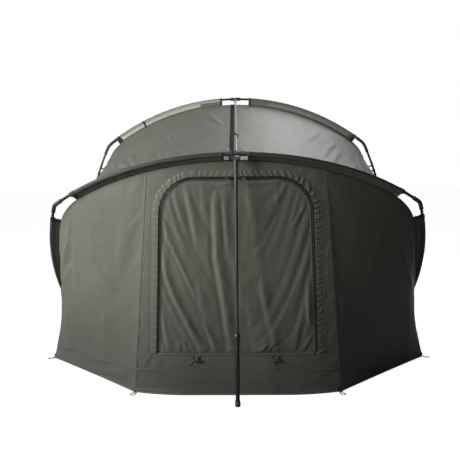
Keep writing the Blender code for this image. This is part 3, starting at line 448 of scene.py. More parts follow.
def baked(piece):
    # The modifiers' result becomes the piece's own mesh.
    mesh = bpy.data.meshes.new_from_object(piece.evaluated_get(bpy.context.evaluated_depsgraph_get()))
    piece.modifiers.clear()
    piece.data = mesh
    return piece


def thickened(piece, thickness):
    shell = piece.modifiers.new("cloth", "SOLIDIFY")
    shell.thickness = thickness
    shell.offset = 0
    return baked(piece)


def softened(piece, width, segments, angle):
    edge = piece.modifiers.new("edges", "BEVEL")
    edge.width = width
    edge.segments = segments
    edge.limit_method = "ANGLE"
    edge.angle_limit = math.radians(angle)
    edge.use_clamp_overlap = True


def resampled(path, count):
    path = np.asarray(path, float)
    run = runOf(path)
    marks = np.linspace(0, run[-1], count)
    return np.stack([np.interp(marks, run, path[:, k]) for k in range(3)], axis=1)


def tangents(path):
    step = np.gradient(path, axis=0)
    return step / np.linalg.norm(step, axis=1)[:, None]


def swept(path, normals, section, finish, name="part"):
    # A closed section of (across, out) pairs carried along a path whose outward directions are given.
    path, normals = np.asarray(path, float), np.asarray(normals, float)
    along = tangents(path)
    aside = np.cross(normals, along)
    aside /= np.linalg.norm(aside, axis=1)[:, None]
    out = np.cross(along, aside)
    points = np.array([path + aside * x + out * y for x, y in [*section, section[0]]])
    return capEnds(gridPiece(name, points, finish, closed=True))


def symmetric(half, middle):
    # A section from its left end to its right one, given the right half from its end inwards.
    return [(-across, out) for across, out in half] + [middle] + half[::-1]


def band(width, thick, lift=0.0):
    # The section of a flat tape with soft edges.
    half, edge = width / 2, min(thick, width / 6)
    rim = [(half, lift), (half, lift + thick * 0.6), (half - edge, lift + thick)]
    return symmetric(rim, (0, lift + thick * 1.08))


def ring(radius, count):
    turns = np.linspace(0, fullTurn, count, endpoint=False)
    return [(radius * math.cos(a), radius * math.sin(a)) for a in turns]


def tubeAlong(path, radius, finish, count=20, name="part"):
    path = np.asarray(path, float)
    along = tangents(path)
    guide = np.eye(3)[np.abs(along).max(axis=0).argmin()]
    return swept(path, np.cross(np.cross(along, guide), along), ring(radius, count), finish, name)


def lathe(profile, start, way, finish, steps=40, flutes=0, depth=0.0, name="part"):
    # A profile of (radius, distance along) turned about a line. A third value of 1 marks the flutes.
    way = Vector(way).normalized()
    side = way.orthogonal().normalized()
    other = way.cross(side)
    rows = []
    for radius, along, cut in ((*item, 0)[:3] for item in profile):
        row = []
        for a in np.linspace(0, fullTurn, steps + 1):
            r = radius - cut * depth * (0.5 - 0.5 * math.cos(flutes * a))
            row.append(Vector(start) + way * along + (side * math.cos(a) + other * math.sin(a)) * r)
        rows.append(row)
    piece = gridPiece(name, rows, finish, closed=True)
    edited(piece.data, lambda shape: bmesh.ops.recalc_face_normals(shape, faces=shape.faces))
    piece.data.set_sharp_from_angle(angle=math.radians(38))
    return capEnds(piece)


# Cloth: creases are raised first, and a short simulation then settles them between the sewn edges
def creased(flat, creases, scale=1.0, hand=1):
    # Each crease is a line of places on the cloth's own flat coordinates, then its height and its width.
    # It hangs steep on one side, where a groove runs along it, and falls away slowly on the other.
    lift = np.zeros(flat.shape[:2])
    for *line, height, width in creases:
        marks = np.array(line)
        nearest = np.full(lift.shape, np.inf)
        sign, place, run = np.zeros(lift.shape), np.zeros(lift.shape), 0.0
        for a, b in zip(marks, marks[1:]):
            way = b - a
            length = np.linalg.norm(way)
            along = np.clip(((flat - a) @ way) / length**2, 0, 1)
            gap = flat - (a + along[..., None] * way)
            size = np.linalg.norm(gap, axis=2)
            closer = size < nearest
            nearest = np.where(closer, size, nearest)
            sign = np.where(closer, np.sign(way[0] * gap[..., 1] - way[1] * gap[..., 0]), sign)
            place = np.where(closer, run + along * length, place)
            run += length
        off = nearest * sign * hand
        taper = 0.35 + 0.65 * np.maximum(0, np.sin(np.pi * place / run)) ** 0.6
        fall = np.where(off < 0, 0.8, 2.2) * width
        ridge = np.exp(-((off / fall) ** 2)) - 0.35 * np.exp(-(((off + 1.8 * width) / (0.9 * width)) ** 2))
        lift += height * taper * ridge
    return lift * scale


def outwardOf(points, back):
    # A grid's unit normals, the middle one of which looks to the back (1) or to the front (-1).
    cross = np.cross(np.gradient(points, axis=1), np.gradient(points, axis=0))
    normals = cross / np.maximum(np.linalg.norm(cross, axis=2), 1e-9)[..., None]
    return normals * np.sign(normals[len(points) // 2, points.shape[1] // 2, 1]) * back


def rumple(points, scale, height, seed, stretch=(1, 1, 1)):
    spots = points.reshape(-1, 3) * stretch * scale + seed * np.array((7.3, 3.1, 5.7))
    values = [noise.fractal(Vector(spot), 0.8, 2.1, 3) for spot in spots]
    return np.array(values).reshape(points.shape[:2]) * height


def wavy(*place):
    return noise.noise(Vector(place))


def fadeIn(count, reach):
    # 0 at both ends of a row, 1 a few cells in.
    place = np.arange(count)
    return np.clip(np.minimum(place, count - 1 - place) / reach, 0, 1)


def edgeFade(points, reach=4):
    return np.minimum(fadeIn(len(points), reach)[:, None], fadeIn(points.shape[1], reach))


simulated = []
stiffness = {"tension": 18.0, "compression": 6.0, "shear": 10.8, "bending": 0.4}


def relaxes(piece, growth, gravity=0.3, cap=0.004):
    # Queued for the one simulation run. The boundary is sewn, so it stays where it is.
    shape = bmesh.new()
    shape.from_mesh(piece.data)
    pinned = [v.index for v in shape.verts if v.is_boundary]
    shape.free()
    piece.vertex_groups.new(name="sewn").add(pinned, 1.0, "REPLACE")
    made = piece.modifiers.new("cloth", "CLOTH")
    settings = made.settings
    settings.quality = 5
    settings.mass = 0.12
    for key, value in stiffness.items():
        setattr(settings, f"{key}_stiffness", value)
    settings.tension_damping = settings.compression_damping = 12
    settings.air_damping = 4
    settings.vertex_group_mass = "sewn"
    settings.shrink_min = -growth
    settings.effector_weights.gravity = gravity
    made.collision_settings.use_self_collision = False
    made.collision_settings.use_collision = False
    simulated.append((piece, cap))


def runSimulation(frames=22):
    # What the cloth moves is held under its cap, so that no fold wanders off.
    for number in range(1, frames + 1):
        bpy.context.scene.frame_set(number)
    for piece, cap in simulated:
        rest = spotsOf(piece)
        step = spotsOf(baked(piece)) - rest
        size = np.linalg.norm(step, axis=1)
        step *= (cap * np.tanh(size / cap) / np.maximum(size, 1e-9))[:, None]
        piece.data.vertices.foreach_set("co", (rest + step).astype(np.float32).ravel())
        piece.data.update()
    bpy.context.scene.frame_set(1)


def lengthOf(line):
    return float(runOf(line)[-1])


def declare(points, flat=None):
    # The cut is measured on the grid that the cloth was laid on.
    points = np.asarray(points, float)
    width, length = flat or (max(map(lengthOf, points)), max(map(lengthOf, points.transpose(1, 0, 2))))


# Front: the surface that carries the door, its zip and the panel round it
plan = {
    "frontCentre": Vector((0, -1.130, 0)), "frontCorner": Vector((0.560, -1.085, 0)),
    "frontOuter": Vector((1.195, -0.515, 0)), "frontHub": Vector((1.040, -0.078, 0)),
    "rearCentre": Vector((0, 1.2804, 0)), "rearCorner": Vector((0.570, 1.217, 0)),
    "rearOuter": Vector((1.160, 0.590, 0)), "rearHub": Vector((1.030, 0.078, 0)),
    "lift": 0.0024, "cornerTop": 0.460, "creaseRise": 0.58, "seamFoot": 0.10, "sillFlat": 0.26, "bow": 0.005,
}
door = {"top": 1.165, "sill": 0.232, "halfSill": 0.433, "halfTop": 0.392, "corner": 0.185, "zipHalf": 0.012}
zipRun = door["halfTop"] - door["corner"]


def plainFront(wide, height):
    top = frontSeam.at(frontSeam.atWidth(abs(wide)), across=-form["seamAcross"])
    share = (max(0.0, abs(wide) - plan["sillFlat"]) / (plan["frontCorner"].x - plan["sillFlat"])) ** 2
    hem = plan["frontCentre"].y + (plan["frontCorner"].y - plan["frontCentre"].y) * share
    return hem + (top.y - hem) * height / top.z


def frontSurface(wide, height, out=0.0):
    depth = plainFront(wide, height)
    if abs(wide) < zipRun:
        # The zip's top run is straight, so its sliders can travel along it.
        t = abs(wide) / zipRun
        straight = plainFront(0.0, door["top"]) * (1 - t) + plainFront(zipRun, door["top"]) * t
        fade = min(1.0, max(0.0, height / door["top"] * 2 - 1))
        depth += (straight - plainFront(wide, door["top"])) * fade
    return Vector((wide, depth - out, height))


def levelPath(half, height, count, out=0.0):
    return [frontSurface(x, height, out) for x in np.linspace(-half, half, count)]


def doorOutline(inset, step):
    # Right half of the door's edge with its outward ways, from the middle of its top down to the sill.
    def steps(length):
        return np.linspace(0, 1, round(length / step) + 1)

    lean = math.atan2(door["halfSill"] - door["halfTop"], door["top"] - door["sill"])
    radius, last = door["corner"] - inset, math.radians(90) - lean
    found = [((zipRun * t, door["top"] - inset), (0.0, 1.0)) for t in steps(zipRun)]
    for t in steps(radius * last)[1:]:
        x, z = math.sin(last * t), math.cos(last * t)
        found.append(((zipRun + radius * x, door["top"] - door["corner"] + radius * z), (x, z)))
    (wide, high), way = found[-1]
    drop = high - door["sill"]
    for t in steps(drop)[1:]:
        found.append(((wide + drop * math.tan(lean) * t, high - drop * t), way))
    return found


def bothHalves(half):
    return [((-w, h), (-x, z)) for (w, h), (x, z) in reversed(half[1:])] + half


def mirror(place, side):
    return Vector((side * place.x, place.y, place.z))


def sewnCloth(name, points, finish, slot, growth, *replaced, closed=False, **limits):
    piece = gridPiece(name, points, finish, closed)
    dress(piece, slot, *replaced)
    relaxes(piece, growth, **limits)
    return piece


frontCreases = [
    # Gathers above the flap, then the panel's own folds and those of the sill.
    ((0.22, 1.2), (0.25, 1.245), 0.0018, 0.006), ((0.185, 1.18), (0.212, 1.23), 0.0017, 0.006),
    ((0.25, 1.175), (0.295, 1.225), 0.002, 0.006), ((0.3, 1.155), (0.345, 1.2), 0.002, 0.007),
    ((0.345, 1.13), (0.39, 1.165), 0.0019, 0.007), ((0.39, 1.07), (0.44, 1.1), 0.0018, 0.007),
    ((-0.13, 1.215), (-0.1, 1.19), 0.0015, 0.007), ((-0.3, 1.2), (-0.27, 1.165), 0.0017, 0.008),
    ((0.07, 1.19), (0.1, 1.215), 0.0015, 0.006), ((-0.52, 0.34), (-0.475, 0.25), 0.003, 0.009),
    ((-0.51, 0.145), (-0.46, 0.235), 0.003, 0.01), ((-0.445, 0.14), (-0.395, 0.208), 0.0027, 0.009),
    ((0.515, 0.55), (0.53, 0.355), 0.0024, 0.014), ((0.5, 0.98), (0.475, 0.62), 0.0018, 0.018),
    ((-0.5, 0.95), (-0.475, 0.62), 0.0018, 0.018), ((-0.34, 0.175), (-0.12, 0.155), 0.0018, 0.012),
    ((0.14, 0.15), (0.38, 0.18), 0.0018, 0.012), ((-0.3, 0.09), (0.12, 0.075), 0.0015, 0.014),
]


def frontCentrePanel():
    def back(wide, height):
        return [frontSurface(wide * (1 - 2 * t), height) for t in np.linspace(0, 1, 61)[1:]]

    half = doorOutline(-door["zipHalf"], 0.012)
    inner = [frontSurface(*spot) for spot, _ in bothHalves(half)]
    inner[0].z = inner[-1].z = door["sill"] - 0.0009
    inner += back(inner[-1].x, door["sill"] - 0.0009)
    corner = frontSeam.atWidth(plan["cornerTop"])
    seam = [frontSeam.at(a, across=-form["seamAcross"]) for a in np.linspace(0, corner, 70)]
    foot = plan["frontCorner"] + up * plan["lift"]
    # The corner of the panel lies opposite the end of the door's rounded corner.
    split = next(i for i, (_, way) in enumerate(half) if way[0] > 0.7)
    down = resampled([seam[-1].lerp(foot, t) for t in np.linspace(0, 1, 80)], len(half) - split)
    right = np.concatenate([resampled(seam, split + 1), down[1:]])
    outer = np.concatenate([right[:0:-1] * (-1, 1, 1), right, np.array(back(foot.x, plan["lift"]))])
    rows = 26
    points = np.array([outer * (1 - t) + np.array(inner) * t for t in np.linspace(0, 1, rows)])
    lift = creased(points[..., [0, 2]], frontCreases) + rumple(points, 9.0, 0.0012, 1)
    points[..., 1] -= lift * fadeIn(rows, 3)[:, None]
    points[:, -1] = points[:, 0]
    laid, replaced = points[::-1], "front_panel_centre"
    return sewnCloth("front_centre_cloth", laid, olive, "canopy", 0.001, replaced, closed=True), points


doorCreases = [
    # The long folds that hang from the zip's left side, then the middle, the right half and the sill.
    ((-0.385, 1.005), (-0.33, 0.935), (-0.265, 0.83), 0.0049, 0.0076),
    ((-0.39, 0.91), (-0.325, 0.8), (-0.26, 0.655), (-0.21, 0.54), 0.0061, 0.0085),
    ((-0.405, 0.83), (-0.385, 0.71), (-0.34, 0.575), (-0.265, 0.42), (-0.18, 0.235), 0.011, 0.0119),
    ((-0.425, 0.545), (-0.4, 0.44), (-0.36, 0.245), 0.0072, 0.0102),
    ((-0.435, 0.335), (-0.4, 0.235), 0.0049, 0.0085), ((-0.17, 0.425), (-0.11, 0.24), 0.0061, 0.011),
    ((-0.2, 0.62), (-0.17, 0.44), 0.003, 0.0136),
    ((-0.11, 1.07), (-0.102, 0.755), (-0.07, 0.55), (-0.03, 0.245), 0.0116, 0.0136),
    ((-0.064, 1.095), (-0.043, 0.755), 0.0049, 0.0102),
    ((-0.25, 1.13), (-0.227, 0.97), (-0.204, 0.82), 0.0061, 0.0102),
    ((-0.315, 1.08), (-0.275, 0.945), 0.0061, 0.0119), ((-0.175, 1.13), (-0.165, 0.98), 0.003, 0.0102),
    ((-0.305, 0.245), (-0.302, 0.305), 0.0036, 0.0068), ((-0.255, 0.24), (-0.28, 0.31), 0.0036, 0.0068),
    ((0.13, 0.62), (0.165, 0.44), (0.21, 0.25), 0.0067, 0.0153),
    ((0.365, 0.615), (0.374, 0.435), (0.402, 0.35), 0.0061, 0.0085),
    ((0.11, 0.236), (0.165, 0.29), 0.0049, 0.0068), ((0.15, 0.236), (0.2, 0.3), 0.0036, 0.0068),
    ((0.345, 0.238), (0.385, 0.32), 0.0049, 0.0085), ((0.3, 0.24), (0.335, 0.41), 0.0042, 0.0119),
    ((0.285, 0.91), (0.35, 1.015), 0.0042, 0.0085), ((0.06, 1.12), (0.075, 0.95), 0.0025, 0.011),
    ((0.2, 1.12), (0.215, 1.0), 0.0025, 0.0102), ((0.31, 1.08), (0.345, 0.98), 0.0025, 0.0085),
    ((-0.02, 0.8), (0.02, 0.55), 0.0025, 0.0153), ((0.06, 0.5), (0.1, 0.235), 0.003, 0.0153),
]


def doorPanel():
    half = [spot for spot, _ in doorOutline(door["zipHalf"] + 0.0004, 0.0078) if spot[0] > 0.02]
    shares = np.linspace(-1, 1, 120)
    points = np.array([[frontSurface(wide * s, height) for s in shares] for wide, height in half])
    lift = creased(points[..., [0, 2]], doorCreases) + rumple(points, 5.0, 0.0035, 2, (1.6, 1.0, 0.7))
    points[..., 1] -= (lift + 0.0015) * edgeFade(points)
    limits = {"gravity": 0.25, "cap": 0.0022}
    return sewnCloth("door_cloth", points[::-1], olive, "canopy", 0.002, "door_panel", **limits), points


# The front side panels and the rear one: their seam, its place across the hoop, and their columns
panels = {
    "front": (frontSeam, -form["seamAcross"], (88, 26)), "rear": (mainSeam, form["seamAcross"], (60, 26)),
}


def placesOf(counts):
    # 0 to 1 over the first stretch, 1 to 2 over the next, each in its own number of steps.
    return np.concatenate([[0.0], *(k + np.linspace(0, 1, n + 1)[1:] for k, n in enumerate(counts))])


def hemLine(kind, side, counts=(24, 24)):
    # From the panel's first corner round to the hub, bowed a little inwards between the corners.
    corners = [plan[kind + name] for name in ("Corner", "Outer", "Hub")]
    points = []
    for place in placesOf(counts):
        part = min(int(place), 1)
        t = place - part
        start, end = corners[part:part + 2]
        inward = Vector((end.y - start.y, start.x - end.x, 0))
        inward *= -math.copysign(plan["bow"], inward.dot(corners[0]))
        points.append(mirror(start.lerp(end, t) + inward * (4 * t * (1 - t)), side))
    return points


def columnsOf(kind, side):
    # Pairs of points, on the seam and on the ground, from the panel's first corner round to the hub.
    seam, across, counts = panels[kind]
    marks = [seam.atWidth(plan["cornerTop"]), seam.atRise(plan["creaseRise"]), seam.atRise(plan["seamFoot"])]
    angles = np.interp(placesOf(counts), range(3), marks)
    hem = hemLine(kind, side, counts)
    return [(seam.at(a, side, across=across), foot + up * plan["lift"]) for a, foot in zip(angles, hem)]


def raised(points, lift, out):
    return points + out * (lift * edgeFade(points))[..., None]


sideCreases = {
    # Folds that spread from the elbow, one long one across the panel, and short ones over the hem.
    "left": [((0.84, 0.86), (0.82, 0.82), (0.75, 0.685), (0.675, 0.57), 0.011, 0.015),
             ((0.9, 0.98), (0.96, 0.8), (1.0, 0.66), 0.01, 0.012),
             ((0.93, 0.83), (1.04, 0.67), (1.1, 0.53), 0.012, 0.012),
             ((0.945, 0.68), (1.05, 0.54), (1.125, 0.44), 0.012, 0.012),
             ((0.965, 0.86), (1.03, 0.67), 0.01, 0.011), ((0.775, 0.39), (0.695, 0.29), 0.006, 0.018),
             ((0.87, 0.98), (0.9, 0.8), (0.92, 0.62), 0.007, 0.014),
             ((1.17, 0.085), (1.02, 0.115), 0.006, 0.01), ((0.88, 0.1), (0.72, 0.13), 0.006, 0.013),
             ((0.6, 0.95), (0.63, 0.6), 0.004, 0.022), ((1.02, 0.4), (1.1, 0.2), 0.006, 0.014),
             ((0.62, 0.07), (0.7, 0.09), 0.005, 0.01)],
    "right": [((0.91, 0.755), (0.97, 0.63), (1.035, 0.51), 0.01, 0.013),
              ((1.035, 0.675), (1.12, 0.455), 0.008, 0.012),
              ((0.89, 0.86), (0.94, 0.69), 0.009, 0.013), ((0.97, 0.083), (1.13, 0.085), 0.006, 0.01),
              ((0.575, 0.104), (0.73, 0.106), 0.006, 0.01), ((0.565, 0.055), (0.63, 0.065), 0.005, 0.009),
              ((0.565, 0.55), (0.548, 0.4), 0.007, 0.014), ((0.8, 0.9), (0.68, 0.55), 0.005, 0.022),
              ((0.98, 0.92), (1.03, 0.66), 0.008, 0.013), ((0.7, 0.4), (0.6, 0.22), 0.005, 0.018)],
}


def frontSidePanel(side, where):
    pairs = columnsOf("front", side)
    points = np.array([[top.lerp(foot, t) for t in np.linspace(0, 1, 92)] for top, foot in pairs])
    lift = creased(points[..., [0, 2]] * (side, 1), sideCreases[where], scale=0.75, hand=side)
    lift += rumple(points, 5.0, 0.0030, 4 + side, (1.0, 1.0, 0.6))
    points = raised(points, lift, outwardOf(points, -1))[::-side]
    # The right panel, turned from the key light, takes the darker cloth as painted shade, and the left one
    # the lighter olive as painted light.
    finish = darkOlive if side > 0 else olive
    name, replaced = f"front_side_cloth_{where}", f"front_panel_{where}"
    return sewnCloth(name, points, finish, "dark_canopy", 0.0015, replaced), points


rearCreases = [
    ((-0.44, 1.6), (-0.55, 1.1), 0.01, 0.026), ((0.42, 1.58), (0.5, 1.2), (0.55, 0.9), 0.01, 0.026),
    ((-0.57, 0.5), (-0.57, 0.08), 0.009, 0.02), ((0.57, 0.55), (0.57, 0.08), 0.009, 0.02),
    ((-1.0, 1.12), (-1.03, 0.85), (-1.04, 0.6), 0.01, 0.016),
    ((1.0, 1.12), (1.03, 0.85), (1.04, 0.6), 0.01, 0.016),
    ((-0.1, 1.65), (-0.16, 1.2), 0.006, 0.02), ((0.12, 1.65), (0.2, 1.25), 0.006, 0.02),
    ((-0.95, 1.32), (-0.8, 1.0), 0.009, 0.02), ((0.95, 1.32), (0.82, 1.05), 0.009, 0.02),
    ((-0.8, 1.4), (-0.62, 1.05), 0.006, 0.018), ((0.78, 1.42), (0.66, 1.12), 0.006, 0.018),
    ((-0.75, 0.3), (-0.9, 0.1), 0.007, 0.016), ((0.72, 0.32), (0.92, 0.1), 0.007, 0.016),
]


def rearPanel():
    top = mainSeam.atWidth(plan["cornerTop"])
    halves = []
    for side, _ in sides:
        middle = []
        for t in np.linspace(0, 1, 31)[:-1]:
            hem = mirror(plan["rearCentre"].lerp(plan["rearCorner"], t), side) + up * plan["lift"]
            middle.append((mainSeam.at(top * t, side, across=form["seamAcross"]), hem))
        halves.append(middle + columnsOf("rear", side))
    pairs = [*reversed(halves[0][1:]), *halves[1]]
    points = np.array([[a.lerp(b, t) for t in np.linspace(0, 1, 80)] for a, b in pairs])
    lift = creased(points[..., [0, 2]], rearCreases) + rumple(points, 3.5, 0.004, 9, (1.0, 1.0, 0.6))
    points = raised(points, lift, outwardOf(points, 1))
    return sewnCloth("rear_cloth", points[::-1], darkOlive, "dark_canopy", 0.001, "rear_panel"), points


roofCreases = [
    # From the left foot (-1) over the crown (0) to the right foot (1), and from the rear hoop to the front.
    ((-0.28, 0.46), (-0.255, 0.62), (-0.23, 0.8), 0.024, 0.0053), ((-0.3, 0.56), (-0.262, 0.7), 0.02, 0.0045),
    ((-0.175, 0.34), (-0.15, 0.6), 0.016, 0.0045), ((-0.155, 0.32), (-0.142, 0.5), 0.012, 0.0037),
    ((-0.18, 0.66), (-0.165, 0.8), 0.012, 0.0037), ((-0.158, 0.68), (-0.15, 0.79), 0.01, 0.0034),
    ((-0.1, 0.02), (-0.043, 0.29), 0.01, 0.0037), ((-0.086, 0.14), (-0.036, 0.35), 0.01, 0.0037),
    ((0.01, 0.16), (0.058, 0.05), 0.0036, 0.0034), ((0.01, 0.24), (0.072, 0.13), 0.003, 0.0034),
    ((0.003, 0.73), (0.024, 0.88), 0.0036, 0.0034), ((0.008, 0.8), (0.022, 0.86), 0.003, 0.0034),
    ((-0.029, 0.9), (-0.012, 0.79), 0.014, 0.0034), ((-0.205, 0.77), (-0.19, 0.66), 0.012, 0.0037),
    ((0.2, 0.74), (0.265, 0.32), 0.0072, 0.0053), ((0.212, 0.83), (0.275, 0.44), 0.0072, 0.0049),
    ((0.18, 0.48), (0.23, 0.2), 0.0048, 0.006), ((0.3, 0.6), (0.24, 0.95), 0.0048, 0.0053),
    ((-0.34, 0.3), (-0.31, 0.62), 0.016, 0.0053), ((0.34, 0.28), (0.31, 0.64), 0.0048, 0.0053),
    ((-0.62, 0.2), (-0.6, 0.8), 0.014, 0.0067), ((0.62, 0.2), (0.6, 0.8), 0.0042, 0.0067),
    ((-0.5, 0.12), (-0.44, 0.6), 0.018, 0.006), ((0.5, 0.12), (0.44, 0.6), 0.0054, 0.006),
    ((-0.78, 0.25), (-0.76, 0.75), 0.01, 0.0075), ((0.78, 0.25), (0.76, 0.75), 0.003, 0.0075),
]
roofRows = {"arch": 92, "elbow": 18, "leg": 42}


def roofAngles():
    # Matching angles on both seams, from the crown to the foot, and how far round each pair lies.
    places = placesOf(roofRows.values())
    found = []
    for seam in (mainSeam, frontSeam):
        marks = (0.0, seam.bendStart, seam.bendEnd, seam.atRise(plan["seamFoot"]))
        found.append(np.interp(places, range(4), marks))
    return list(zip(*found, places / 3))


def roofPoint(mainAngle, frontAngle, side, t):
    start = mainSeam.at(mainAngle, side, across=-form["seamAcross"])
    end = frontSeam.at(frontAngle, side, across=form["seamAcross"])
    out = (mainSeam.outward(mainAngle, side) + frontSeam.outward(frontAngle, side)).normalized()
    return start.lerp(end, t) - out * (4 * t * (1 - t) * (end - start).length * 0.022), out


def roof():
    shares = np.linspace(0, 1, 64)
    halves = []
    for side, _ in sides:
        rows = []
        for mainAngle, frontAngle, place in roofAngles():
            row = [roofPoint(mainAngle, frontAngle, side, t) for t in shares]
            rows.append([(*spot, *out, side * place, t) for (spot, out), t in zip(row, shares)])
        foot = [mirror(plan["rearHub"].lerp(plan["frontHub"], t), side) + up * plan["lift"] for t in shares]
        last = np.array(rows[-1])
        for step in (0.5, 1.0):
            rows.append(np.hstack([last[:, :3] * (1 - step) + np.array(foot) * step, last[:, 3:]]))
        halves += rows[::-1] if side < 0 else rows[1:]
    points, outs, flat = np.split(np.array(halves), (3, 6), axis=2)
    lift = creased(flat, roofCreases, scale=0.62, hand=-1)
    lift += rumple(points, 4.0, 0.0035, 12, (1.0, 0.6, 1.0))
    points = raised(points, lift, outs)
    replaced = [f"{panel}_{where}" for panel in ("roof_panel", "side_wall") for _, where in sides]
    # The roof takes the lighter copy of the cloth, as painted light from above.
    return sewnCloth("roof_cloth", points, litOlive, "canopy", 0.0015, *replaced), points


sheets = {"centre": frontCentrePanel(), "door": doorPanel()}
for side, where in sides:
    sheets[where] = frontSidePanel(side, where)
sheets["rear"], sheets["roof"] = rearPanel(), roof()
print("cloth laid out")
runSimulation()
print("cloth simulated")
for key, (piece, points) in sheets.items():
    flat = (2 * plan["frontCorner"].x, frontSeam.at(0.0).z) if key == "centre" else None
    declare(points, flat)
    foldWith(piece, key if key in ("rear", "roof") else "front")


# Sleeves round the hoops
sleeve = {"radius": 0.0098, "lap": 0.0012, "foot": -0.049, "cloth": 0.00077}


def sleeveCloth(name, hoop, side, start, end, finish, inlays):
    lap, foot = sleeve["lap"], sleeve["foot"]
    neck = math.asin(lap / sleeve["radius"]) + math.radians(24)
    angles = hoop.spread(start, end, 0.009)
    rows = []
    for k, run in enumerate(runOf([hoop.at(a, side) for a in angles])):
        puff = 0.0011 * wavy(run * 34, side * 3.0, 1.0) + 0.0006 * wavy(run * 90, 5.0, side)
        wave = 0.0016 * wavy(run * 19, side * 7.0, 4.0)
        flare = 0.0012 * math.exp(-min(k, len(angles) - 1 - k) / 1.5)
        radius = sleeve["radius"] + max(0, puff) + flare
        front, back = ([(foot, face), (foot * 0.72, face + wave), (foot * 0.45, face + wave),
                        (-radius * 1.55, face * 1.15)] for face in (-lap, lap))
        around = np.linspace(neck, fullTurn - neck, 15)
        profile = front + [(-radius * math.cos(a), -radius * math.sin(a)) for a in around] + back[::-1]
        rows.append([hoop.at(angles[k], side, out, across) for out, across in profile])
    return thickened(gridPiece(name, rows, finish, inlays=inlays), sleeve["cloth"]), rows


def hoopRibbon(hoop, side, start, end, out, face, lift, width, thick, finish):
    # A tape along a sleeve's web that looks to the front (-1) or to the back (1).
    path = [hoop.at(a, side, out, face * (sleeve["lap"] + lift)) for a in hoop.spread(start, end, 0.012)]
    return swept(path, [hoop.back * face] * len(path), band(width, thick), finish)


def bindingRing(hoop, angle, side, width):
    # The turned and stitched mouth of a sleeve.
    lap, radius, foot = sleeve["lap"] + 0.0009, sleeve["radius"] + 0.0021, sleeve["foot"] + 0.002
    around = np.linspace(math.radians(32), fullTurn - math.radians(32), 17)
    profile = [(foot, -lap), (-radius * 1.5, -lap)]
    profile += [(-radius * math.cos(a), -radius * math.sin(a)) for a in around]
    profile += [(-radius * 1.5, lap), (foot, lap)]
    half = width / 2 / form["archRadius"]
    rows = []
    for share, grow in ((-1, -0.0009), (-0.8, 0.0), (0, 0.0003), (0.8, 0.0), (1, -0.0009)):
        rows.append([hoop.at(angle + half * share, side, out + (grow if i > 1 else 0), across)
                     for i, (out, across) in enumerate(profile)])
    return thickened(gridPiece("mouth", rows, webbing), 0.0009)


# Each sleeve with its ends, how far its trim stands back from them, and the widths of its bound mouths
sleeves = (
    ("main", mainPole, mainPole.atWidth(0.104), mainPole.aboveElbow(0.0013), (0.006, 0.011), (0.016, 0.034)),
    ("front", frontPole, frontPole.atWidth(0.06), frontPole.aboveElbow(0.075), (0.006, 0.011),
     (0.016, 0.034)),
    ("leg", frontPole, frontPole.belowElbow(0.055), frontPole.atRise(0.17), (0.004, 0.003), (0.016, 0.016)),
)


def makeSleeve(side, where, label, hoop, start, end, inset, mouths):
    onMain, body = label == "main", "main_hoop" if label == "main" else "front_hoop"
    pale = onMain and side < 0
    # Both main sleeves and the left front sleeve take the lighter cloth as painted light; the right front
    # sleeve has the plain olive.
    finish = litOlive if onMain or (label == "front" and side < 0) else olive
    # The pole shows dark along the top of its sleeve, over pale cloth on the left of the rear hoop, which is
    # partly its own colour and partly painted light.
    inlays = [(3, 18, paleLitTape)] * pale + [(7, 14, poleCloth) if onMain else (8, 12, poleCloth)]
    piece, points = sleeveCloth(f"{label}_sleeve_cloth_{where}", hoop, side, start, end, finish, inlays)
    handOver(piece, "canopy" if onMain else "dark_canopy", body, f"{label}_sleeve_{where}")
    declare(points)
    # Bound mouths, a piping where the canopy is sewn on, and the stitched lap of the hem
    near, far = start + inset[0], end - inset[1]
    trims = [bindingRing(hoop, angle, side, wide) for angle, wide in zip((near, far), mouths)]
    for face in (-1, 1):
        piping = sleeve["foot"] + 0.0035
        trims += [hoopRibbon(hoop, side, near, far, piping, face, 0.0006, 0.0055, 0.0018, webbing),
                  hoopRibbon(hoop, side, near, far, -0.0195, face, 0.0006, 0.007, 0.0004, seamCloth)]
        if onMain:
            # Pale tape on the left, partly painted light, and darker edge tape on the right.
            tape, first, last = paleLitTape if pale else edgeTape, hoop.atWidth(0.27), end - 0.03
            trims.append(hoopRibbon(hoop, side, first, last, -0.025, face, 0.0008, 0.023, 0.0005, tape))
    if pale:
        trims.append(bindingRing(hoop, hoop.atWidth(0.715), side, 0.016))
    handOver(joined(f"{label}_sleeve_trim_{where}", trims, smooth=True), "webbing", body)


for side, where in sides:
    for item in sleeves:
        makeSleeve(side, where, *item)
print("sleeves made")


# Seams, hems and bindings of the canopy
def seamStrip(path, towards, width, thick, finish, lift=0.0004):
    # A flat tape along a path. It looks the given way, or away from a place, as near as can be.
    path = resampled(path, max(8, round(lengthOf(path) / 0.014)))
    along = tangents(path)
    ways = towards(path) if callable(towards) else np.tile(towards, (len(path), 1))
    ways = ways - (ways * along).sum(axis=1)[:, None] * along
    return swept(path, ways / np.linalg.norm(ways, axis=1)[:, None], band(width, thick, lift), finish)


def awayFrom(depth):
    return lambda path: (path - (0, depth, 0)) * (1, 1, 0)


def hemStrip(path, towards):
    return seamStrip(path, towards, 0.026, 0.0013, hemCloth)


def edgeStrip(path, towards):
    return seamStrip(np.array(path) - (0, 0, 0.0085), towards, 0.0075, 0.0017, edgeTape)


def laidCloth(key):
    # Where the simulation left the cloth's own grid.
    piece, points = sheets[key]
    return spotsOf(piece).reshape(points.shape)


def across(grid, shares):
    # One place on each row of the grid, at its own share of the row.
    spots = np.clip(shares, 0, 0.9999) * (grid.shape[1] - 1)
    low = spots.astype(int)
    rest = (spots - low)[:, None]
    row = np.arange(len(grid))
    return grid[row, low] * (1 - rest) + grid[row, low + 1] * rest


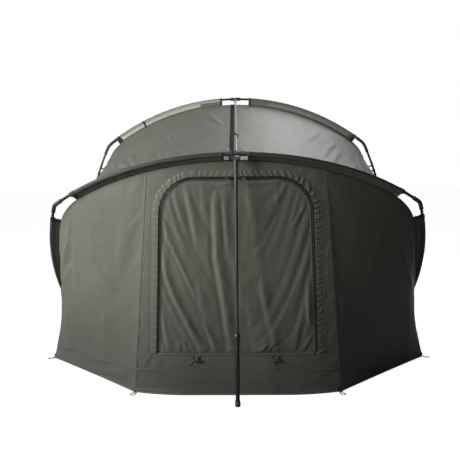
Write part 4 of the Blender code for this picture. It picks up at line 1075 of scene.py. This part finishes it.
hemRise = up * 0.0145
for side, where in sides:
    top, foot = columnsOf("front", side)[0]
    hem = [p + hemRise for p in hemLine("front", side)]
    grid = laidCloth(where)
    flap = across(grid, 1 - 0.132 / grid[:, 0, 2])
    flap = flap[4:] if side > 0 else flap[:-4]
    edge = [top.lerp(foot, t) for t in np.linspace(0.01, 0.998, 40)]
    strips = [seamStrip(edge, (side * 0.35, -1, 0), 0.011, 0.0004, seamCloth),
              hemStrip(hem, awayFrom(-0.2)), edgeStrip(hem, awayFrom(-0.2)),
              seamStrip(flap, awayFrom(-0.2), 0.009, 0.0009, seamCloth)]
    handOver(joined(f"front_side_seams_{where}", strips), "dark_canopy", "front")

sill = levelPath(0.555, 0.0165, 90)
strips = [hemStrip(sill, forward), edgeStrip(sill, forward),
          seamStrip(levelPath(0.545, 0.137, 90), forward, 0.011, 0.0009, seamCloth)]
handOver(joined("front_centre_seams", strips), "canopy", "front")

strips = []
for side, _ in sides:
    pairs = columnsOf("rear", side)
    for index, wide in ((0, 0.4), (panels["rear"][2][0], 1.2)):
        a, b = pairs[index]
        path = [a.lerp(b, t) for t in np.linspace(0.005, 0.995, 50)]
        strips.append(seamStrip(path, (side * wide, 1, 0.3), 0.013, 0.0011, seamCloth))
half = [plan["rearCentre"].lerp(plan["rearCorner"], t) for t in np.linspace(0, 0.96, 20)] + hemLine("rear", 1)
hem = [p + hemRise for p in [mirror(p, -1) for p in half[:0:-1]] + half]
handOver(joined("rear_seams", [*strips, hemStrip(hem, awayFrom(0.2))]), "dark_canopy", "rear")

# The roof's centre tape and the seam over each elbow
laid = laidCloth("roof")
crown = len(laid) // 2
spine = (laid[crown - 2] + laid[crown - 3]) / 2
strips = [seamStrip(spine, (0, -0.28, 0.96), 0.026, 0.0012, brownTape, 0.0012)]
wall = roofRows["arch"] + roofRows["elbow"]
for side, _ in sides:
    *angles, _ = roofAngles()[wall]
    out = roofPoint(*angles, side, 0.5)[1]
    strips.append(seamStrip(laid[crown + side * wall], out, 0.013, 0.0011, seamCloth))
handOver(joined("roof_seams", strips), "canopy", "roof")
print("seams made")


# Door: zip, gathered flap, sliders and toggles
def zipPath(step):
    return bothHalves(doorOutline(0.0, step))


def besideZip(path, section):
    # A section of (away from the zip, out of the surface) pairs carried along it.
    return [[frontSurface(w + x * away, h + z * away, out) for away, out in section]
            for (w, h), (x, z) in path]


def coilSection(reach, rise):
    half = [(reach, 0.0008), (reach * 0.9, rise * 0.7), (reach * 0.45, rise), (0.0003, rise * 0.86)]
    return symmetric(half, (0.0, rise * 0.6))


def doorZip():
    tape = symmetric([(0.0119, 0.0), (0.009, 0.0006), (0.0042, 0.0008)], (0.0, 0.0009))
    tooth, gap = coilSection(0.0033, 0.0030), coilSection(0.0026, 0.0022)
    chain = [besideZip([spot], tooth if k % 2 else gap)[0] for k, spot in enumerate(zipPath(0.00125))]
    pieces = [gridPiece("tape", besideZip(zipPath(0.006), tape), webbing),
              gridPiece("coil", chain, zipPlastic)]
    handOver(joined("door_zip_chain", pieces, smooth=True), "zip", "front", "door_zip")


flap = {"inner": 0.0068, "outer": 0.048, "fine": 0.0125, "broad": 0.031, "least": 0.0009, "cloth": 0.0009}


def stormFlap():
    # Gathered cloth: its ruffles are deepest round the upper corners, and its sewn edge puckers.
    path = zipPath(0.0033)
    run = runOf([spot for spot, _ in path])
    run -= run[len(path) // 2]
    cornerAt = zipRun + door["corner"] * 0.8
    points = []
    for spot, s in zip(path, run):
        near = math.exp(-(((abs(s) - cornerAt) / 0.24) ** 2))
        foot = math.exp(-(((abs(s) - run[-1]) / 0.16) ** 2))
        calm, more = (0.55, 0.55) if s > 0 else (0.20, 0.35)
        lively = calm + more * max(near, 0.7 * foot)
        section = []
        for t in np.linspace(0, 1, 17):
            away = flap["inner"] + (flap["outer"] - flap["inner"]) * t
            slant = s + math.copysign(away * 0.55, s) * (0.6 + 0.4 * math.sin(s * 9))
            warp = 1.6 * wavy(s * 17, t * 0.7, 2.0)
            fine = math.sin(slant * fullTurn / flap["fine"] + warp * 3.4)
            broad = math.sin(slant * fullTurn / flap["broad"] + warp * 2.4 + 1.0)
            choose = 0.5 + 1.2 * wavy(s * 31, 7.0, t * 2)
            bulge = lively * (0.35 + 0.65 * math.sin(math.pi * min(1, t * 1.1)))
            pleat = max(-0.0014, (0.0021 * fine * max(0.15, choose) + 0.0022 * broad) * bulge)
            settle = min(1, (1 - t) * 2.2)
            out = flap["least"] + (0.0018 + 0.0030 * (1 - t) - flap["least"] + pleat) * settle
            section.append((away + (0.0022 * fine + 0.0016 * broad) * lively * (1 - t) ** 2, out))
        points += besideZip([spot], section)
    piece = thickened(gridPiece("storm_flap_cloth", points, olive), flap["cloth"])
    declare(points)
    handOver(piece, "canopy", "front", "storm_flap")
    edges = np.array(besideZip(zipPath(0.008), [(0.0475, 0.0005), (-0.0145, 0.0005)]))
    strips = [seamStrip(edges[:, 0], forward, 0.006, 0.0007, seamCloth),
              seamStrip(edges[:, 1], forward, 0.006, 0.0004, seamCloth),
              seamStrip(levelPath(0.418, 0.2318, 70, 0.0006), forward, 0.010, 0.0009, olive)]
    handOver(joined("door_seams", strips), "canopy", "front")


def slider(side, where):
    low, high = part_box(f"zip_slider_{where}")
    centre = Vector(((low.x + high.x) / 2, high.y - 0.003, high.z - 0.005))
    hang = centre + Vector((0, -0.0048, -0.001))
    body = bmesh.new()
    bmesh.ops.create_cube(body, size=1.0)
    for v in body.verts:
        tall = 0.0098 * (1 if v.co.x * side > 0 else 0.72)
        v.co = centre + Vector((v.co.x * 0.024, v.co.y * 0.0058, v.co.z * tall))
    shell = fromShape("shell", body, [moulding])
    softened(shell, 0.0016, 3, 35)
    bridge = [centre + Vector((0.007 * (2 * t - 1), -0.0026 - 0.0030 * math.sin(math.pi * t), 0))
              for t in np.linspace(0, 1, 9)]
    loop = [hang + Vector((0.0042 * math.sin(a), -0.0004, -0.006 + 0.006 * math.cos(a)))
            for a in np.linspace(0, fullTurn, 21)]
    cord = [hang + Vector((0.0030 * math.sin(fullTurn * t), -0.0004, -0.011 - 0.012 * math.sin(math.pi * t)))
            for t in np.linspace(0, 1, 25)]
    grip = [(0.0001, 0.0), (0.0021, 0.0008), (0.003, 0.004), (0.0034, 0.009), (0.0032, 0.014),
            (0.0024, 0.0185), (0.0001, 0.0195)]
    pieces = [baked(shell), tubeAlong(bridge, 0.0013, moulding, 10), tubeAlong(loop, 0.0009, barMetal, 10),
              tubeAlong(cord, 0.0011, webbing, 10),
              lathe(grip, hang + Vector((0, -0.0002, -0.021)), -up, moulding, 20)]
    piece = joined(f"zip_pull_{where}", pieces, smooth=True)
    piece.data.set_sharp_from_angle(angle=math.radians(40))
    handOver(piece, "zip", f"slider_{where}", f"zip_slider_{where}")
    flattenFront(piece)


elastic = {
    "radius": 0.0017, "lift": 0.0031, "cross": 0.0012,
    "left": {"aside": -0.016, "up": 0.024, "upWidth": 0.01, "down": 0.036, "downWidth": 0.019, "tilt": 0.2},
    "right": {"aside": -0.013, "up": 0.026, "upWidth": 0.013, "down": 0.046, "downWidth": 0.009,
              "tilt": -0.3},
}


def elasticLoop(where, centre):
    # Dark elastic behind the toggle, crossed once, with a small loop above and a longer one that hangs down.
    shape = elastic[where]
    path = []
    for u in np.linspace(0, fullTurn, 57):
        part = "up" if math.cos(u) > 0 else "down"
        z = math.cos(u) * shape[part]
        x = shape["aside"] + math.sin(2 * u) * shape[f"{part}Width"] + shape["tilt"] * z
        lift = elastic["lift"] + elastic["cross"] * math.sin(u)
        path.append(frontSurface(centre.x + x, centre.z + z, lift))
    return tubeAlong(path, elastic["radius"], webbing, 12)


def toggle(where):
    low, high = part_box(f"toggle_{where}")
    centre, half = (low + high) / 2, (high.x - low.x) / 2
    end = [(0.0001, half), (0.0030, half - 0.0008), (0.0046, half - 0.004), (0.0052, half - 0.0085),
           (0.0050, half - 0.0125), (0.0040, 0.0062)]
    profile = [(radius, -x) for radius, x in end] + [(0.0043, 0.0)] + end[::-1]
    bar = lathe(profile, centre, (1, 0, 0), moulding, 28, name=f"toggle_bar_{where}")
    handOver(bar, "zip", f"toggle_{where}", f"toggle_{where}")
    flattenFront(bar)
    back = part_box(f"toggle_loop_{where}")[1].y - 0.001
    radius = 0.0062
    path = [(back - 0.0012, 0.021), (back - 0.0004, 0.012), (back, 0.004)]
    turns = np.linspace(0.2, -math.pi - 0.2, 19)
    path += [(centre.y + radius * math.cos(a), radius * math.sin(a)) for a in turns]
    path += [(centre.y - radius * 0.95, 0.004), (centre.y - radius * 0.5, 0.010), (back - 0.0032, 0.0165),
             (back - 0.0030, 0.021)]
    path = resampled([(centre.x, y, centre.z + z) for y, z in path], 46)
    strap = swept(path, np.cross(tangents(path), (1.0, 0, 0)), band(0.0100, 0.0013, -0.0006), webbing)
    tack = [frontSurface(centre.x + x, centre.z + 0.021, 0.0022) for x in np.linspace(-0.012, 0.012, 9)]
    pieces = [strap, seamStrip(tack, forward, 0.012, 0.0015, seamCloth), elasticLoop(where, centre)]
    piece = joined(f"toggle_tape_{where}", pieces, smooth=True)
    handOver(piece, "webbing", "front", f"toggle_loop_{where}")


doorZip()
stormFlap()
for side, where in sides:
    slider(side, where)
for _, where in sides:
    toggle(where)
print("door made")


# Hoop poles, elbows and fittings
def poles(side, where, label, hoop, start):
    body = f"{label}_hoop"
    ends = {"arch": (hoop.atWidth(start), hoop.bendStart), "leg": (hoop.bendEnd, hoop.atRise(0.0454))}
    for part, (low, high) in ends.items():
        path = [hoop.at(a, side) for a in hoop.spread(low, high, 0.02)]
        piece = tubeAlong(path, form["pole"], poleMetal, 24, f"{label}_{part}_tube_{where}")
        handOver(piece, "pole", body, f"{label}_{part}_{where}")
    path = np.array([hoop.at(a, side) for a in hoop.spread(hoop.aboveElbow(0), hoop.belowElbow(0), 0.004)])
    # Rounded ends, then a raised bead near each
    near = {0: 0.0090, 1: 0.0106, 2: 0.0117, 3: 0.0117}
    radius = np.array([[near.get(min(k, len(path) - 1 - k), 0.0112)] for k in range(len(path))])
    back = np.array(hoop.back)
    aside = np.cross(back, tangents(path))
    loop = ring(1.0, 24)
    rows = np.array([path + (aside * x + back * y) * radius for x, y in [*loop, loop[0]]])
    name = f"{label}_elbow_tube_{where}"
    piece = capEnds(gridPiece(name, rows.transpose(1, 0, 2), moulding, closed=True))
    handOver(piece, "moulding", body, f"{label}_elbow_{where}")


def dressCad():
    # Moulded fittings keep their own shape, with softened edges and a better finish.
    names = ["main_centre_block", "front_centre_block", "bar_clip", "storm_top_lug"]
    for _, where in sides:
        names += [f"hub_block_{where}", f"main_knuckle_{where}", f"front_knuckle_{where}"]
    for name in names:
        piece = nodes[name]
        piece.data.materials.clear()
        piece.data.materials.append(moulding)
        piece.data.shade_smooth()
        softened(piece, 0.0009, 2, 42)
        piece.modifiers.new("normals", "WEIGHTED_NORMAL").keep_sharp = True


for side, where in sides:
    poles(side, where, "main", mainPole, 0.0006)
    poles(side, where, "front", frontPole, 0.0248)
dressCad()


# Tension bar and storm pole
crownFront = frontPole.at(0.0)
barPin = mainPole.at(0.0) + Vector((0, -0.024, -0.012))
polePin = crownFront + Vector((0, -0.020, -0.026))
barWay = (crownFront - barPin).normalized()


def gripProfile(inner, outer):
    grip, groove, tip = 0.0145, 0.0136, (0.0145 + outer) / 2
    return [(inner + 0.0008, -0.012), (tip - 0.0006, -0.012), (tip, -0.0112), (grip - 0.0008, -0.0030),
            (grip, -0.0012), (grip, 0.0020), (groove, 0.0026), (groove, 0.0040), (grip, 0.0046, 1),
            (grip, 0.0240, 1), (groove, 0.0250), (groove, 0.0264), (grip, 0.0272), (grip, 0.0288),
            (tip, 0.035), (tip - 0.0008, 0.036), (outer + 0.0003, 0.036)]


def collarGrip(name, inner, outer, start, way):
    return lathe(gripProfile(inner, outer), start, way, moulding, 72, 18, 0.0012, name)


def barPieces():
    outerStart = crownFront - barWay * (0.0086 + 0.028 + 0.385)
    reach = np.linspace(0.008, (outerStart - barPin).length + 0.02, 40)
    end = [(0.0040, 0.0071), (0.0085, 0.0071), (0.0094, 0.0060)]
    eye = [(radius, -x) for radius, x in end] + end[::-1]
    pieces = [tubeAlong([barPin + barWay * t for t in reach], 0.0068, barMetal, 28),
              lathe(eye, barPin, (1, 0, 0), barMetal, 32)]
    handOver(joined("bar_inner_piece", pieces), "bar", "tension_bar", "bar_inner_tube")
    profile = [(0.0075, 0.0), (0.0092, 0.0), (0.0095, 0.0006), (0.0095, 0.379), (0.0092, 0.3835),
               (0.0075, 0.3838)]
    outer = lathe(profile, outerStart, barWay, barMetal, 32, name="bar_outer_piece")
    handOver(outer, "bar", "tension_bar_outer", "bar_outer_tube")
    collar = collarGrip("bar_collar_grip", 0.0068, 0.0095, outerStart, barWay)
    handOver(collar, "moulding", "tension_bar_collar", "bar_collar")


def stormPieces():
    def at(height):
        return Vector((polePin.x, polePin.y, height))

    path = [at(z) for z in np.linspace(1.23, 0.322, 40)]
    upper = tubeAlong(path, 0.008, propMetal, 28, "storm_upper_metal")
    handOver(upper, "pole", "storm_pole", "storm_upper_tube")
    profile = [(0.0087, 0.0), (0.0107, 0.0), (0.0110, 0.0006), (0.0110, 0.3585), (0.0107, 0.3592)]
    lower = lathe(profile, at(0.37), -up, poleMetal, 32, name="storm_lower_metal")
    handOver(lower, "pole", "storm_pole_lower", "storm_lower_tube")
    collar = collarGrip("storm_collar_grip", 0.0080, 0.0110, at(0.37), -up)
    handOver(collar, "moulding", "storm_pole_collar", "storm_collar")
    foot = [(0.0001, 0.0), (0.01, 0.0), (0.0122, 0.0008), (0.0146, 0.006), (0.015, 0.0085),
            (0.0146, 0.0105), (0.0138, 0.0112), (0.0138, 0.0126), (0.0146, 0.0134), (0.0144, 0.0165),
            (0.0136, 0.0172), (0.0136, 0.0186), (0.0142, 0.0194), (0.0136, 0.0285), (0.0128, 0.03),
            (0.0113, 0.03)]
    cap = lathe(foot, at(0), up, rubber, 36, name="storm_foot_cap")
    handOver(cap, "foot", "storm_pole_lower", "storm_foot")


barPieces()
stormPieces()
print("poles made")


# Webbing: ties on the main legs and loops for the pegs
def legTie(side, where):
    top = mainPole.belowElbow(0.107)
    foot, arm, edge = (length / form["legRadius"] for length in (0.048, 0.0045, 0.005))
    back = mainPole.back
    near = [(-0.044, -0.0016), (-0.030, -0.0016), (-0.018, -0.0022)]
    around = [(-0.0097 * math.cos(a), -0.0097 * math.sin(a)) for a in np.radians(np.linspace(25, 335, 22))]
    pieces = []
    for angle in (top + arm, top + foot - arm):
        out, centre = mainPole.outward(angle, side), mainPole.at(angle, side)
        loop = [*near, *around, *((x, -y) for x, y in reversed(near))]
        path = resampled([centre + out * x + back * y for x, y in loop], 60)
        normals = np.cross(tangents(path), np.cross(out, back)) * side
        pieces.append(swept(path, normals, band(0.009, 0.0012, -0.0005), webbing))
    patch = [mainPole.at(a, side, -0.047, -0.0034) for a in np.linspace(top - edge, top + foot + edge, 8)]
    pieces.append(seamStrip(patch, -back, 0.016, 0.0012, seamCloth))
    piece = joined(f"leg_tie_straps_{where}", pieces, smooth=True)
    handOver(piece, "webbing", "main_hoop", f"leg_tie_{where}")


def pegLoop(side, where, label, corner, way, carrier):
    way = Vector((*way, 0)).normalized()
    start, aside = corner - way * 0.008, Vector((-way.y, way.x, 0))

    def laid(along, off, rise):
        return mirror(start + way * along + aside * off, side) + up * rise

    root = [(0.001, -0.0045), (0.012, -0.0070)]
    half, middle = 0.0105, 0.036
    eye = [(middle + half * math.sin(a), -half * math.cos(a)) for a in np.linspace(0.15, math.pi - 0.15, 17)]
    loop = [*root, *eye, *((along, -off) for along, off in reversed(root))]
    path = resampled([laid(*spot, 0.0011) for spot in loop], 44)
    patch = [laid(0.006, x, 0.0030) for x in np.linspace(-0.011, 0.011, 8)]
    pieces = [swept(path, [up] * len(path), band(0.0078, 0.0014, -0.0007), webbing),
              seamStrip(patch, up, 0.018, 0.0012, seamCloth, -0.0005)]
    piece = joined(f"peg_webbing_{label}_{where}", pieces, smooth=True)
    handOver(piece, "webbing", carrier, f"peg_loop_{label}_{where}")


pegSpots = (
    ("front", plan["frontCorner"], (0.35, -1.0), "front"),
    ("outer", plan["frontOuter"], (1.0, -0.45), "front"),
    ("rear", plan["rearCorner"], (0.35, 1.0), "base"),
)
for side, where in sides:
    legTie(side, where)
for side, where in sides:
    for item in pegSpots:
        pegLoop(side, where, *item)
print("webbing made")


# Camera, light and floor
view = {
    "distance": 3.93, "height": 1.186, "pitch": 5.93, "turn": 1.01, "roll": 0.56, "lens": 42.34,
    "shift": 0.0067,
}
camera = placed("camera", bpy.data.cameras.new("camera"))
camera.data.lens = view["lens"]
camera.data.sensor_width = 36
camera.data.shift_x = view["shift"]
camera.data.clip_end = 200
camera.location = (0, -view["distance"], view["height"])
turn, tip, roll = (math.radians(angle) for angle in (view["turn"], 90 - view["pitch"], -view["roll"]))
turned = Matrix.Rotation(turn, 3, "Z") @ Matrix.Rotation(tip, 3, "X")
camera.rotation_euler = (turned @ Matrix.Rotation(roll, 3, "Z")).to_euler()
bpy.context.scene.camera = camera

lights = {
    # Where each light stands, what it looks at, its size, its power and its colour
    "key": ((-4.1, -2.9, 2.5), (0, -0.6, 1.0), (2.0, 2.0), 490, (1.0, 0.99, 0.97)),
    "top": ((1.5, 2.4, 4.4), (0.1, -0.2, 1.2), (3.0, 3.0), 116, (1.0, 1.0, 1.0)),
    "back": ((2.7, 4.0, 0.85), (0.2, 0.4, 0.8), (3.0, 1.3), 240, (1.0, 1.0, 1.0)),
    "front": ((0.3, -4.6, 4.2), (0, -0.6, 1.0), (2.4, 1.6), 46, (0.97, 0.985, 1.0)),
}
for name, (spot, aim, size, power, colour) in lights.items():
    lamp = bpy.data.lights.new(name, "AREA")
    lamp.shape = "RECTANGLE"
    lamp.size, lamp.size_y = size
    lamp.energy = power
    lamp.color = colour
    held = placed(name, lamp)
    held.location = spot
    held.rotation_euler = (Vector(aim) - Vector(spot)).to_track_quat("-Z", "Y").to_euler()


def studio(owner, output, build):
    # One shader for what the light meets, and another for what the camera sees.
    owner.use_nodes = True
    tree = owner.node_tree
    tree.nodes.clear()
    rays = node(tree, "LightPath").outputs["Is Camera Ray"]
    lit, seen = build(tree)
    pick = node(tree, "MixShader", {0: rays, 1: lit.outputs[0], 2: seen.outputs[0]})
    node(tree, output, {"Surface": pick.outputs[0]})
    return owner


def worldShaders(tree):
    return (node(tree, "Background", {"Color": (0.93, 0.96, 1.0, 1), "Strength": 0.075}),
            node(tree, "Background", {"Color": (1, 1, 1, 1), "Strength": 1.0}))


def floorShaders(tree):
    matt = node(tree, "BsdfDiffuse", {"Color": (0.20, 0.20, 0.20, 1)})
    shaded = node(tree, "BsdfDiffuse", {"Color": (0.12, 0.12, 0.12, 1)})
    glow = node(tree, "Emission", {"Color": (1, 1, 1, 1), "Strength": 0.975})
    return matt, node(tree, "AddShader", {0: shaded.outputs[0], 1: glow.outputs[0]})


bpy.context.scene.world = studio(bpy.data.worlds.new("studio"), "OutputWorld", worldShaders)
floorMaterial = studio(bpy.data.materials.new("studio_floor"), "OutputMaterial", floorShaders)
shape = bmesh.new()
bmesh.ops.create_grid(shape, x_segments=1, y_segments=1, size=40)
floor = fromShape("studio_floor", shape, [floorMaterial])
floor.location.z = -0.0005
bpy.context.scene.view_settings.view_transform = "Standard"
